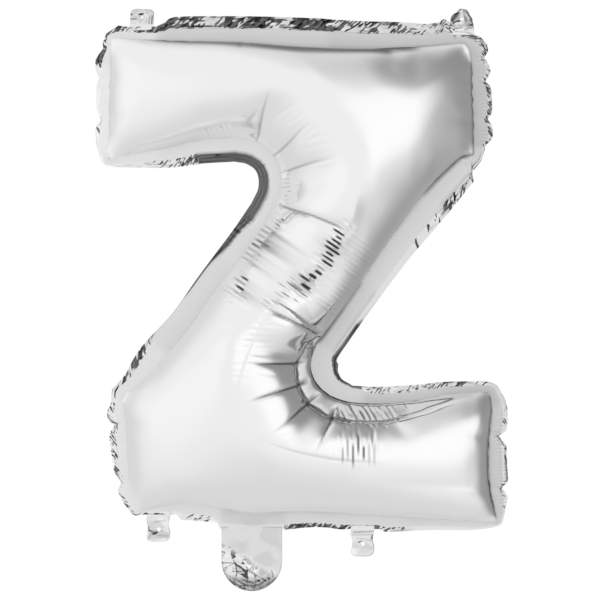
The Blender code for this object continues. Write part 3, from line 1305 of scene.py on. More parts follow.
# Short steps that cross between neighbouring creases, next to the right corner, each with a line of
# painted shade
CORNER_STEPS = tuple(
    Crease(line(*knots), depth=0.9, width=1.8, fade_in=2, fade_out=3, shade=shade)
    for knots, shade in (
        (((9.5, -219), (8.5, -226), (8, -233)), 0.8),
        (((-2.2, -237), (-0.6, -243.2), (-1.6, -249)), 0.8),
        (((0.7, -251.4), (3.4, -258.2), (2.1, -263)), 0.8),
        (((5.5, -261.7), (13.7, -266.5), (20, -272)), 0.8),
        (((25.3, -264), (27, -272), (36.3, -274.7)), 0.9),
    )
)
# Fine folds across the diagonal, and the short ones elsewhere
DIAGONAL_FOLDS = (
    Folds(line((-43, -181), (-32.9, -163.7), (-24, -150), (-15, -140)), -35, 15, 3.5, 0.75, 3),
    Folds(line((-44, -196), (-39, -184.3), (-35.6, -175)), -33, 11, 3.4, 0.8, 5),
    Folds(line((32, -142), (24, -154.8), (17.1, -163.7), (6, -175.5), (-3, -189)), -35, 9, 3.7, 1.5, 8),
    Folds(line((37, -150), (30.8, -166.5), (24, -178.8), (14, -196)), -33, 17, 3.2, 0.3, 13),
    Folds(line((2, -160), (-6.9, -173), (-12.3, -185.6), (-22, -196)), -35, 14, 4.2, 0.4, 21),
    Folds(line((-3, -181), (-10, -190), (-17, -197)), -36, 9, 3.8, 1.2, 34),
)
CORNER_FOLDS = (
    Folds(line((-43.2, -247), (-43.2, -233.6), (-39, -219.9), (-31, -207)), -8, 17, 4.1, 0.4, 4),
    Folds(line((-37, -262), (-26, -275), (-10, -290)), 22, 12, 4.6, 0.25, 6),
    Folds(line((-9.5, -104), (-8, -113), (-8.6, -126)), 2, 6, 2.9, 0.4, 9),
    Folds(line((8, -220), (8.5, -232)), 5, 7, 2.6, 0.35, 10),
)
SHORT_FOLDS = (
    Folds(line((33, -271), (44.5, -271), (54.8, -270), (72, -266.5)), 115, 6.5, 2.9, 0.7, 12),
    Folds(line((27, -293), (35.6, -296), (41, -296), (52, -292)), 88, 9, 4.0, 0.3, 14),
    Folds(line((-70, -80), (-58.2, -78.8), (-45, -78)), 118, 5, 3.4, 0.35, 15),
    Folds(line((-8, -70), (2, -76), (10, -84)), 40, 9, 4.4, 0.3, 16),
    Folds(line((14, -90), (18, -104), (18, -118)), 10, 12, 5.2, 0.22, 17),
)
# The crests of the diagonal: the film falls away to the right of the first and to
# the left of the second
CRESTS = (
    Ridge(line((-14, -190), (0, -184), (28, -151), (36, -135), (41, -110)), 0.36, 16, 22),
    Ridge(line((-13, -136), (-27, -156), (-34, -168), (-39, -190)), 0.3, 11),
)
# Rows of short deep folds, with painted shade in their cores and beside them, on the crests and beside
# the creases
DEEP_FOLDS = (
    Folds(
        line((29, -148), (24, -156), (17, -168)), -34, 10, 3.1, 0.7, 2,
        dark=1.7, dark_length=5.5, shade_sides=(0.5, 0.25), shade_reach=8,
    ),
    Folds(
        line((13.5, -171), (7, -179), (-2, -187)), -37, 10, 4.2, 0.8, 3,
        dark=1.9, dark_length=6, shade_sides=(0.5, 0.25), shade_reach=8,
    ),
    Folds(line((-12, -137), (-17, -144)), -38, 4, 2.4, 0.3, 4, dark=0.8, dark_length=2.6),
    Folds(
        line((-20, -145), (-28, -155), (-37, -167)), -35, 14, 3.8, 0.9, 31,
        dark=0.75, dark_length=9, shade_sides=(0, 0.75), shade_reach=18,
    ),
    Folds(
        line((-37, -178), (-43, -190)), -33, 12, 3.6, 0.7, 7,
        dark=1, dark_length=8, shade_sides=(0, 0.6), shade_reach=13,
    ),
    Folds(
        line((-8, -188), (-24, -197)), -36, 6, 2.8, 0.4, 9,
        dark=0.5, dark_length=4, shade_sides=(0.14, 0.18), shade_reach=6,
    ),
    Folds(
        line((33, -271), (44.5, -271), (54.8, -270), (74, -266)), 118, 6.5, 3.5, 0.9, 12,
        dark=0.45, dark_length=5, shade_sides=(0.6, 0.5), shade_reach=8,
    ),
    Folds(line((29, -292), (52, -291)), 88, 11, 3.6, 0.3, 14, dark=0.7, dark_length=11),
    Folds(line((-9, -104), (-8, -126)), 2, 6, 2.9, 0.3, 11, dark=0.3, dark_length=3),
    Folds(line((8, -219), (8.5, -232)), 5, 7, 2.6, 0.35, 10, dark=0.5, dark_length=4),
)
CREASES = (*LEFT_CORNER_CREASES, *RIGHT_CORNER_CREASES, *LOWER_ARM_CREASES, *CORNER_STEPS)
FOLDS = (*DIAGONAL_FOLDS, *CORNER_FOLDS, *SHORT_FOLDS, *DEEP_FOLDS, *CRESTS)
# How wide a shelf the film lies low over beside the seam, from each seam place on:
# it begins below the right slope, goes round the right corner and runs out along
# the top of the lower arm
SHELF = (
    ((18, -214), 0),
    ((12, -222), 5),
    ((8.5, -234), 9),
    ((11, -246), 11),
    ((18, -255), 13),
    ((34, -261), 13),
    ((58, -262), 12),
    ((76, -260), 9),
    ((90, -258), 6.5),
    ((103, -256.5), 4.8),
    ((116, -255.5), 3.2),
    ((126, -256), 0),
)
# Where the flange's ends are pinched, a pucker runs into the film from the seam:
# the seam place it starts at, how far it reaches in, and its depth
END_PUCKERS = (
    ((-130, -40.5), 20, 1.3),
    ((-131, -68.8), 17, 1.5),
    ((-130, -21), 12, 0.9),
    ((117, -28.4), 12, 1),
    ((118, -42.1), 14, 1.2),
    ((119, -69.5), 20, 1.5),
    ((119, -87), 12, 1),
    ((129.5, -285.6), 22, 1.6),
    ((131, -323.3), 16, 1.3),
    ((-117, -315.8), 16, 1.2),
    ((-119.5, -278), 20, 1.3),
    ((-122, -262), 12, 1),
    ((-40, -15.8), 9, 0.5),
    ((62, -19.6), 9, 0.6),
    ((-20, -337.5), 12, 0.9),
    ((-46, -336.5), 12, 0.9),
)


@dataclass(frozen=True)
class EdgeManner:
    """How the sealed edge lies from one seam place on.

    seam_shade is how much painted shade lies along the seam, painted_grey how much
    painted shade greys the seal band, and dark the share of the loose edge's
    crumples that are painted dark: from TURNED on the edge is turned over and smooth,
    and painted dark all over with lighter painted streaks instead, for the shade of
    the turned film. curl is the loose edge's rise towards the front over its width,
    crumple and facet the height and length of its crumples, loose_share its part of
    the whole width, and pleat the height of fine pleats in the seal band.
    """

    start: Place
    seam_shade: float
    painted_grey: float
    dark: float
    curl: float
    crumple: float
    facet: float = 5.0
    loose_share: float = 0.42
    pleat: float = 0.0

    TURNED = (0.84, 0.95)


EDGE_MANNERS = tuple(
    EdgeManner(*row)
    for row in (
        ((-130, -12.5), 0.15, 0.2, 0.5, 0.2, 1.4, 3.2, 0.5),
        ((-98, -14.5), 0.55, 0.38, 0.6, 0.5, 2.2, 6.5, 0.5),
        ((20, -19.8), 0.65, 0.45, 0.34, 0.2, 1.8, 5, 0.5),
        ((85, -18.4), 0.6, 0.45, 0.3, 0.1, 2, 2.8, 0.52),
        ((117, -22), 0.65, 0.5, 0.34, 0.5, 1.2, 2.8, 0.26, 0.2),
        ((119, -90), 0.9, 0.3, 0.26, 0.3, 2.2, 4.5, 0.32),
        ((85, -120), 0.5, 0.28, 0.14, 0.2, 1.8, 5.5, 0.3),
        ((66, -146), 0.35, 0.28, 0.04, 0.1, 0.4, 14, 0.26),
        ((42, -181), 0.8, 0.34, 0.04, 0.3, 0.3, 16, 0.26),
        ((30, -198), 0.95, 0.38, 0.93, 0.6, 0.2, 18, 0.26),
        ((12, -222), 0.1, 0.3, 1.1, 0.7, 0.1, 18, 0.28),
        ((24, -259), 0.05, 0.3, 1.1, 0.5, 0.1, 12, 0.22),
        ((44, -262.5), 0.1, 0.45, 0.2, -0.3, 1.2, 3, 0.45),
        ((100, -257.5), 0.15, 0.5, 0.3, 0.2, 1.2, 3.6, 0.45),
        ((124, -255), 0.5, 0.5, 0.14, 0.2, 1.6, 3.6, 0.45),
        ((130.5, -266), 0.75, 0.38, 0.05, 0.3, 1.2, 3.2, 0.3, 0.2),
        ((135, -343), 0.05, 0.25, 0.02, 0.2, 0.6, 8, 0.35),
        ((70, -341), 0.25, 0.2, 0.5, 0.2, 1.6, 3.4, 0.3),
        ((-11, -337.5), 0.35, 0.3, 0.2, 0, 0.3, 5, 0.3),
        ((-53.5, -335.5), 0.05, 0.15, 0.25, 0.2, 1.6, 3.6, 0.38),
        ((-111.5, -337), 0, 0.1, 0.25, 0.2, 1.6, 3.6, 0.42, 0.1),
        ((-119, -285), 0, 0.1, 0.55, 0.3, 2, 3.4, 0.42, 0.1),
        ((-122.5, -258), 0, 0.15, 0.4, 0.6, 1.4, 6, 0.36),
        ((-92, -228), 0, 0.25, 1.1, 0.8, 0.2, 20, 0.03),
        ((-66, -199), 0, 0.25, 1.1, 0.9, 0.2, 20, 0.16),
        ((-46, -170), 0, 0.22, 1.1, 1, 0.2, 20, 0.34),
        ((-28, -145), 0, 0.2, 1.25, 1, 0.1, 20, 0.62),
        ((-48, -79), 0.05, 0.2, 1.1, 0.9, 0.5, 4.4, 0.56),
        ((-74, -84), 0.05, 0.2, 0.3, 0.1, 1.6, 3, 0.42),
        ((-98, -90), 0.05, 0.15, 0.05, 0, 1.4, 3.4, 0.42),
        ((-132, -94), 0.05, 0.05, 0.04, 0.1, 1.2, 6, 0.35),
        ((-130.5, -31), 0.1, 0.15, 0.78, 0.2, 2.2, 2.6, 0.56),
    )
)


class EdgeManners:
    """The manners of the sealed edge at every point of the seam."""

    def __init__(self, plan: SeamPlan) -> None:
        """Lays the manners round the seam, each fading into the next.

        Args:
            plan: The seam's outline.
        """
        count = len(plan.points)
        begins = sorted((plan.nearest(m.start), k) for k, m in enumerate(EDGE_MANNERS))
        which = np.zeros(count, int)
        for (first, k), (last, _) in zip(begins, begins[1:] + [(count, 0)]):
            which[first:last] = k
        self.plan = plan
        for name in ("seam_shade", "painted_grey", "dark", "curl", "crumple", "loose_share", "pleat"):
            values = np.array([getattr(m, name) for m in EDGE_MANNERS])[which]
            setattr(self, name, rounded(values, 90 if name == "loose_share" else 14))
        self.facet = rounded(np.array([m.facet for m in EDGE_MANNERS])[which], 6)
        knots = [plan.nearest(place) for place, _ in SHELF]
        self.shelf = np.interp(np.arange(count), knots, [width for _, width in SHELF])
        steps = np.diff(run_length(plan.points), append=0)
        steps[-1] = steps[0]
        self.phase = np.concatenate([[0], np.cumsum(steps / self.facet)[:-1]])

    def seam_shade_at(self, places: Array) -> Array:
        """How much painted shade the seam's line has next to each place of the seam plane."""
        return self.seam_shade[self.plan.beside(places)[0]]


@dataclass
class FilmPanel:
    """One of the two inflated films, from the simulated form to a finished piece."""

    name: str
    replaced: str
    side: int
    manners: EdgeManners
    form: InflatedForm
    fine_step: float = 1.1
    plain_step: float = 2.6
    rim_step: float = 1.7
    rim_y: float = 0.4
    gathered: Line = line((-22, -62), (10, -110), (2, -170), (-8, -235), (20, -285))
    gathered_reach: float = 44.0
    rolled: tuple[tuple[Line, float, float], ...] = (
        (line((119, -10), (119, -102)), 46.0, 0.34),
        (line((119, -42), (119, -102)), 18.0, -0.22),
        (line((82, -19), (124, -18.5)), 42.0, 0.33),
        (line((132, -262), (134, -340)), 18.0, -0.5),
    )
    shelf_rise: float = 3.6
    shelf_slope: float = 0.6
    shelf_wall: float = 1.8
    # The painted grey shade over the shelf
    shelf_shade: float = 0.26
    bulge_rise: float = 6.0
    bulge_reach: float = 26.0
    bulge_until_x: float = 62.0
    sharp_deg: float = 70.0
    passes: int = 190
    even_by: float = 6.0
    even_by_seam: float = 9.0
    even_gathered_by: float = 12.0
    thickness: float = 0.2
    ripple: float = 0.25

    def build(self) -> None:
        """The panel as a piece with a wall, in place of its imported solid."""
        points, triangles = self.smooth_surface()
        points, shade = self.creased(points, triangles)
        made = piece(self.name, points, triangles, [PANEL_FINISH], shade)
        # The deep folds' cores, which the finish paints shade into
        core_shade = np.zeros((len(points), 3))
        for folds in DEEP_FOLDS:
            found = folds.core_shade(points[:, [0, 2]])
            core_shade = np.where((found[:, 2] > core_shade[:, 2])[:, None], found, core_shade)
        kept = made.data.attributes.new("folds", "FLOAT_VECTOR", "POINT")
        kept.data.foreach_set("vector", core_shade.ravel().astype(np.float32))
        walled(made, self.thickness, -1.0)
        made.data.set_sharp_from_angle(angle=math.radians(self.sharp_deg))
        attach(made, Body.ENVELOPE.value)
        hand_over(made, Slot.PANEL, self.replaced)

    def mapped(self, tree: BVHTree, flat: Array, places: Array) -> Array:
        """Where points of the flat pattern lie on the simulated film.

        Args:
            tree: The pattern's triangles, in the plane y = 0.
            flat: Points of the pattern, (n, 2).
            places: The simulated place of each of the pattern's own points.

        Returns:
            The n places in space.
        """
        found = [tree.find_nearest((p[0], 0.0, p[1])) for p in flat.tolist()]
        corners = self.form.triangles[[f[2] for f in found]]
        a, b, c = (self.form.pattern[corners[:, k]] for k in range(3))
        return (places[corners] * barycentric(flat, a, b, c)[:, :, None]).sum(1)

    def smooth_surface(self) -> tuple[Array, Array]:
        """The simulated film on a finer mesh, on the seam and without its small crumples.

        Returns:
            The points and the triangles. The rim's points come first.
        """
        form = self.form
        places = form.front if self.side < 0 else form.back
        flat3 = [(x, 0.0, z) for x, z in form.pattern.tolist()]
        tree = BVHTree.FromPolygons(flat3, form.triangles.tolist())
        rim_flat, target = resampled(self.rim_step, form.pattern[: form.rim], form.seam_target)
        rim = len(rim_flat)
        grids = [rim_flat]
        for step, wants_gathered in ((self.fine_step, True), (self.plain_step, False)):
            grid = hex_points(rim_flat, step)
            gathered = self.gather(self.mapped(tree, grid, places)[:, [0, 2]]) > 0.02
            grid = grid[gathered == wants_gathered]
            grids.append(grid[distance_to(rim_flat, grid) > 0.6 * max(step, self.rim_step)])
        flat = np.vstack(grids)
        spacing = np.full(len(flat), self.plain_step)
        spacing[rim : rim + len(grids[1])] = self.fine_step
        triangles = triangulated(flat, rim)
        points = self.mapped(tree, flat, places)
        residual = np.stack([target[:, 0] - points[:rim, 0], target[:, 1] - points[:rim, 2]], axis=1)
        points[:, [0, 2]] += self.carried(flat, rim_flat, residual)
        points[:rim, 1] = self.side * self.rim_y
        near = 1 - smoothstep(distance_to(rim_flat, flat), 12, 26)
        by = self.even_by + (self.even_by_seam - self.even_by) * near
        by = np.maximum(by, self.even_gathered_by * self.gather(points[:, [0, 2]]))
        pull = np.minimum((by / spacing) ** 2 / self.passes, 0.5)
        pull[:rim] = 0
        edges = edges_of(triangles)
        for _ in range(self.passes):
            points += pull[:, None] * (spread(points, edges) - points)
        if (face_normals(points, triangles)[:, 1].sum() > 0) != (self.side > 0):
            triangles = triangles[:, ::-1]
        points[rim:, 1] = self.side * self.shelved(points[rim:, [0, 2]], np.abs(points[rim:, 1]))
        return points, triangles

    def shelved(self, places: Array, heights: Array) -> Array:
        """The film's heights with the low shelf that the right corner gathers.

        Args:
            places: Places in the seam plane, (n, 2).
            heights: The film's height over it at each, in millimetres.

        Returns:
            The heights, lower beside the seam where the shelf runs.
        """
        heights = heights * self.lowered(places)
        width, gap = self.shelf(places)
        strength = smoothstep(width, 0.4, 2.0)
        width = np.maximum(width, 0.5)
        low = self.shelf_rise * (1 - np.exp(-gap / 0.7)) + self.shelf_slope * gap
        beyond = np.maximum(gap - width, 0)
        bulge = self.bulge_rise * (1 - smoothstep(places[:, 0], 0, self.bulge_until_x))
        bulge = bulge * smoothstep(width, 1, 3) * np.exp(-((beyond / self.bulge_reach) ** 2))
        high = heights + bulge * (1 - smoothstep(beyond, 28, 55))
        wall = smoothstep(gap, width - self.shelf_wall / 2, width + self.shelf_wall / 2)
        under = (np.maximum(low, 0.1) ** -6 + np.maximum(heights, 0.1) ** -6) ** (-1 / 6)
        changed = under * (1 - wall) + high * wall
        return heights + strength * (changed - heights)

    def shelf(self, places: Array) -> tuple[Array, Array]:
        """The shelf's width beside places of the seam plane, and how far they are from it."""
        numbers, gaps = self.manners.plan.beside(places)
        return self.manners.shelf[numbers], gaps

    def lowered(self, places: Array) -> Array:
        """The share of its height that the film keeps.

        It rolls off at the right ends and the top right corner, and fills out close
        to the ends.

        Args:
            places: Places in the seam plane, (n, 2).

        Returns:
            The share at each.
        """
        down, up = np.zeros(len(places)), np.zeros(len(places))
        for end, radius, lost in self.rolled:
            share = lost * (1 - np.clip(np.abs(end.locate(places)[0]) / radius, 0, 1)) ** 2
            down, up = down + np.maximum(share, 0) ** 3, np.minimum(up, share)
        return 1 - np.cbrt(down) - up

    def gather(self, places: Array) -> Array:
        """How much the film is gathered at places of the seam plane, from 0 to 1."""
        across = np.abs(self.gathered.locate(places)[0])
        return 1 - smoothstep(across, 0.7 * self.gathered_reach, 1.15 * self.gathered_reach)

    @staticmethod
    def carried(flat: Array, rim: Array, residual: Array) -> Array:
        """The rim's corrections carried into the film, fading away from the rim.

        Args:
            flat: The film's points on the pattern, (n, 2).
            rim: The rim's points, (m, 2).
            residual: The rim's corrections, (m, 2).

        Returns:
            The n corrections.
        """
        found = []
        for part in in_parts(flat):
            gap = np.linalg.norm(part[:, None] - rim[None], axis=2)
            near = gap.min(1)
            weight = np.exp(-((gap / (near[:, None] + 3)) ** 2))
            moved = (weight[:, :, None] * residual).sum(1) / weight.sum(1)[:, None]
            found.append(moved * np.exp(-near / 30)[:, None])
        return np.concatenate(found)

    def creased(self, points: Array, triangles: Array) -> tuple[Array, Array]:
        """The film with its creases and folds, and its painted shade at each point.

        Args:
            points: The smooth film's points, (n, 3).
            triangles: Its triangles.

        Returns:
            The creased film's points, and their shade.
        """
        places = points[:, [0, 2]]
        normals = point_normals(points, triangles)
        push = np.zeros(len(points))
        shade = np.zeros(len(points))
        # Creases push the film in, and most paint a line of shade along their valley
        for crease in (*CREASES, *self.puckers()):
            push += crease.push(places)
            shade = np.maximum(shade, crease.crease_shade(places))
        for folds in FOLDS:
            push += folds.push(places)
        push += self.ripple * np.sin(places[:, 0] / 13 + 1.7 * np.sin(places[:, 1] / 19))
        # Painted shade beside the rows of deep folds
        for folds in DEEP_FOLDS:
            shade = np.maximum(shade, folds.shade_beside(places))
        gap = distance_to(self.manners.plan.points, places)
        push *= smoothstep(gap, 0.0, 3.0)
        # Painted shade along the seam line
        seam = self.manners.seam_shade_at(places) * np.exp(-((gap / 1.0) ** 2))
        points = points + normals * push[:, None]
        width, gap = self.shelf(places)
        # Painted grey shade over the shelf
        on_shelf = smoothstep(width, 0.4, 2.0) * (1 - smoothstep(gap - width, -0.8, 0.8))
        return points, np.maximum.reduce([shade, seam, self.shelf_shade * on_shelf])

    def puckers(self) -> list[Crease]:
        """The creases that run in from the pinched stretches of the seam.

        Returns:
            The creases.
        """
        found = []
        plan = self.manners.plan
        for place, reach, depth in END_PUCKERS:
            k = plan.nearest(place)
            start, way = plan.points[k], -plan.normals[k]
            knots = [tuple(start + way * share * reach) for share in (0.0, 0.5, 1.0)]
            found.append(Crease(Line(tuple(knots)), 0.7 * depth, 4.0, 1.0, 0.9 * reach, 0.0))
        return found


@dataclass
class SealedEdge:
    """Both films outside the body: the pressed seal band, and the loose edge beyond it."""

    manners: EdgeManners
    loose_most: float = 8.5
    root_reach: float = 1.6
    half_thickness: float = 0.16
    band_rows: int = 6
    loose_rows: int = 7
    slant: float = 0.9
    facet_across: float = 3.6
    sag: float = 0.3
    pinch_rise: float = 0.35
    pleat_length: float = 2.3
    neck_x: float = -33.0
    neck_half_width: float = 17.0
    neck_rise: float = 3.2
    # clump varies the share of painted dark slivers along the seam; streaks is how much lighter the
    # painted streaks on the turned edge are
    clump: float = 0.55
    streaks: float = 0.13
    seed: int = 7

    def build(self) -> None:
        """The flange and neck as one piece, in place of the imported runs."""
        plan = self.manners.plan
        count = len(plan.points)
        loose = np.minimum(self.manners.loose_share * plan.widths, self.loose_most)
        band = plan.widths - loose
        rows = [np.full(count, -self.root_reach)]
        rows += [band * share for share in np.linspace(0, 1, self.band_rows)]
        rows += [band + loose * share for share in np.linspace(0, 1, self.loose_rows + 1)[1:]]
        places = [plan.points + plan.normals * reach[:, None] for reach in rows]
        middles, shades = self.form(rows, band, loose)
        points = []
        for side in (-1, 1):
            for place, middle in zip(places, middles):
                swell = self.neck_rise * self.neck(place)
                y = middle + side * (self.half_thickness + swell)
                points.append(np.stack([place[:, 0], y, place[:, 1]], axis=1))
        faces, finish = self.faces(count, len(rows))
        # The share of the loose edge's slivers that are painted dark: clumped along the seam, and none
        # where the turned edge is painted dark all over
        run = run_length(plan.points)
        clumps = 1 + self.clump * np.sin(run / 5.3 + 2.1 * np.sin(run / 14.7))
        share = self.manners.dark * clumps * smoothstep(self.manners.crumple, 0.4, 0.9)
        share = share * (1 - smoothstep(self.manners.dark, *EdgeManner.TURNED))
        dark = [np.where(reach > band + 0.2, share, 0) for reach in rows]
        made = piece(
            "sealed_edge", np.vstack(points), faces, [BAND_FINISH, LOOSE_FINISH],
            np.concatenate(shades + shades), finish, 16, np.concatenate(dark + dark),
        )
        size = LOOSE_FINISH.shards.length_mm
        along = np.tile(self.manners.phase * size, len(rows))
        across = np.concatenate([(reach - band) * size / self.manners.facet for reach in rows])
        self.unroll(made.data, np.stack([along, across], axis=1))
        made.visible_glossy = False
        runs = [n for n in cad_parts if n.startswith("flange")]
        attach(made, Body.ENVELOPE.value)
        hand_over(made, Slot.SEALED, "filling_neck", *runs)

    def form(self, rows: list[Array], band: Array, loose: Array) -> tuple[list[Array], list[Array]]:
        """How far each row of the edge lies off the seam plane, and its painted shade.

        Args:
            rows: The distance of each row from the seam, at each of its points.
            band: The width of the seal band.
            loose: The width of the loose edge.

        Returns:
            The rows' y and their shade.
        """
        manners, plan = self.manners, self.manners.plan
        run = run_length(plan.points)
        crumples = Facets((0, 0), (manners.phase[-1], 10), (1.0, self.facet_across), self.seed)
        broad = rounded(plan.widths, 300)
        pinch = np.clip(rounded(broad - plan.widths, 4), 0, 4)
        middles, shades = [], []
        for reach in rows:
            beyond = np.maximum(reach - band, 0)
            across = np.clip(reach / band, 0, 1)
            phase = manners.phase + self.slant * beyond / 5.0
            height = crumples.at(np.stack([phase, beyond], axis=1))[0]
            lift = manners.crumple * height * np.clip(beyond / 2.2, 0, 1)
            curl = manners.curl * beyond * (beyond / loose) ** 0.5
            wave = self.sag * np.sin(run / 11) - self.pinch_rise * pinch
            pleats = manners.pleat * np.sin(run * 2 * math.pi / self.pleat_length)
            middles.append(-(across * (wave + pleats) + curl + lift))
            # Painted shade: a dark line along the seam and along the band's outer edge, a grey over the
            # band that is darker towards the seam and halved on the loose edge, and the turned edge
            # painted dark with lighter painted streaks
            root = manners.seam_shade * np.exp(-((reach / 0.9) ** 2))
            edge = 0.5 * manners.seam_shade * np.exp(-(((reach - band) / 0.5) ** 2))
            turned = smoothstep(manners.dark, *EdgeManner.TURNED) * smoothstep(beyond, 0.9, 1.6)
            streak = 1 - self.streaks * (1 - np.sin(2.6 * beyond + 0.6 * np.sin(run / 9)))
            painted_grey = manners.painted_grey * (1.15 - 0.3 * across) * np.where(beyond < 0.3, 1, 0.5)
            shades.append(np.maximum.reduce([root, edge, painted_grey, turned * streak]))
        return middles, shades

    @staticmethod
    def unroll(mesh: bpy.types.Mesh, flat: Array) -> None:
        """A UV map of the run along the seam and the distance from the seal band.

        Args:
            mesh: The edge's mesh, whose points are the front's and then the back's.
            flat: The run and distance of one side's points, in millimetres.
        """
        corners = np.empty(len(mesh.loops), np.int32)
        mesh.loops.foreach_get("vertex_index", corners)
        places = (flat[corners % len(flat)] * MM).reshape(-1, 4, 2)
        length = flat[:, 0].max() * MM
        wraps = np.ptp(places[:, :, 0], axis=1) > length / 2
        low = places[wraps, :, 0]
        places[wraps, :, 0] = np.where(low < length / 2, low + length, low)
        mesh.uv_layers.new(name="seam").data.foreach_set("uv", places.ravel().astype(np.float32))

    def faces(self, count: int, rows: int) -> tuple[Array, Array]:
        """The faces of a closed ring of rows on two sides, and the finish of each.

        Args:
            count: How many points each row has.
            rows: How many rows each side has.

        Returns:
            The faces as rows of point numbers, and their finish numbers.
        """
        total = count * rows
        ring = np.arange(total).reshape(rows, count)
        beside = np.roll(ring, -1, axis=1)
        front = np.stack([ring[:-1], ring[1:], beside[1:], beside[:-1]], axis=-1).reshape(-1, 4)
        back = total + front[:, [0, 3, 2, 1]]
        root, tip = (
            np.stack([ring[k], beside[k], total + beside[k], total + ring[k]], axis=-1)
            for k in (0, -1)
        )
        loose = np.repeat(np.arange(rows - 1) > self.band_rows - 1, count).astype(int)
        ends = np.repeat([0, 1], count)
        return np.vstack([front, back, root, tip[:, ::-1]]), np.concatenate([loose, loose, ends])

    def neck(self, places: Array) -> Array:
        """The share of its rise that the filling neck has at places of the seam plane."""
        across = 1 - smoothstep(np.abs(places[:, 0] - self.neck_x), 3, self.neck_half_width)
        return across * smoothstep(places[:, 1], -353.0, -337.0) * (places[:, 1] < -300)


def flat_mesh(outline: Array, holes: tuple[Array, ...], step: float) -> tuple[Array, Array]:
    """An even triangle mesh over a flat outline.

    Args:
        outline: The closed outline, (n, 2).
        holes: Closed lines inside it to leave open.
        step: The triangles' size.

    Returns:
        The points, with the outline's first, and the triangles, turned one way.
    """
    outline = resampled(step, outline)[0]
    grid = hex_points(outline, step)
    grid = grid[distance_to(outline, grid) > 0.6 * step]
    for hole in holes:
        grid = grid[~inside(hole, grid) & (distance_to(hole, grid) > 0.5 * step)]
    loops = [outline, *holes]
    edges, first = [], 0
    for loop in loops:
        edges += [(first + k, first + (k + 1) % len(loop)) for k in range(len(loop))]
        first += len(loop)
    points = np.vstack([*loops, grid])
    made = delaunay_2d_cdt([Vector(p) for p in points.tolist()], edges, [], 2, 1e-6)
    flat, triangles = np.array([tuple(p) for p in made[0]]), np.array(made[2])
    middle = flat[triangles].mean(1)
    kept = inside(outline, middle)
    for hole in holes:
        kept &= ~inside(hole, middle)
    triangles = triangles[kept]
    a, b, c = (flat[triangles[:, k]] for k in range(3))
    turned = crossed(b - a, c - a) < 0
    triangles[turned] = triangles[turned][:, ::-1]
    return flat, triangles


def walled(made: bpy.types.Object, thickness_mm: float, offset: float = 0.0) -> bpy.types.Object:
    """Gives a one-sided sheet its thickness in its own mesh.

    Args:
        made: The sheet.
        thickness_mm: Its thickness.
        offset: Where the wall lies: 0 to either side of the sheet, -1 behind it.

    Returns:
        The sheet, with a wall.
    """
    wall = made.modifiers.new("wall", "SOLIDIFY")
    wall.thickness = thickness_mm * MM
    wall.offset = offset
    done = result_mesh(made)
    made.modifiers.clear()
    made.data = done
    return made


def arc(centre: Place, radius: float, start: float, end: float, count: int) -> Array:
    """Points on a circle round the centre, from one angle in degrees to another."""
    angles = np.radians(np.linspace(start, end, count))
    return np.array(centre) + radius * np.stack([np.cos(angles), np.sin(angles)], axis=1)


class Tube:
    """Geometry nodes that run a round bead along a curve."""

    @staticmethod
    @cache
    def nodes() -> bpy.types.NodeTree:
        """The node group, with a radius and a material as its inputs.

        Returns:
            The group, which is made once.
        """
        tree = bpy.data.node_groups.new("bead", "GeometryNodeTree")
        for name, kind in (("Curve", "Geometry"), ("Radius", "Float"), ("Finish", "Material")):
            tree.interface.new_socket(name, in_out="INPUT", socket_type="NodeSocket" + kind)
        tree.interface.new_socket("Bead", in_out="OUTPUT", socket_type="NodeSocketGeometry")
        wiring = Wiring(tree)
        curve, radius, finish, _ = wiring.node("NodeGroupInput").outputs
        circle = {"Resolution": 6, "Radius": radius}
        ring = wiring.socket("GeometryNodeCurvePrimitiveCircle", "Curve", circle)
        swept = {"Curve": curve, "Profile Curve": ring}
        bead = wiring.socket("GeometryNodeCurveToMesh", "Mesh", swept)
        bead = wiring.socket("GeometryNodeSetShadeSmooth", "Geometry", {"Geometry": bead})
        finished = {"Geometry": bead, "Material": finish}
        bead = wiring.socket("GeometryNodeSetMaterial", "Geometry", finished)
        wiring.node("NodeGroupOutput", {"Bead": bead})
        return tree

    @classmethod
    def along(cls, name: str, loop: Array, radius_mm: float, finish: FilmFinish) -> bpy.types.Object:
        """A bead along a closed line.

        Args:
            name: The piece's name.
            loop: The line's points in millimetres, (n, 3).
            radius_mm: The bead's radius.
            finish: The bead's finish.

        Returns:
            The bead as a plain mesh object.
        """
        path = bpy.data.curves.new(name + "_path", "CURVE")
        path.dimensions = "3D"
        spline = path.splines.new("POLY")
        spline.points.add(len(loop) - 1)
        closed = np.hstack([loop * MM, np.ones((len(loop), 1))])
        spline.points.foreach_set("co", closed.ravel())
        spline.use_cyclic_u = True
        guide = placed(name + "_path", path)
        nodes = guide.modifiers.new("bead", "NODES")
        nodes.node_group = cls.nodes()
        sockets = {s.name: s.identifier for s in nodes.node_group.interface.items_tree}
        nodes[sockets["Radius"]] = radius_mm * MM
        nodes[sockets["Finish"]] = finish.material()
        made = placed(name, result_mesh(guide))
        bpy.data.objects.remove(guide)
        bpy.data.curves.remove(path)
        return made


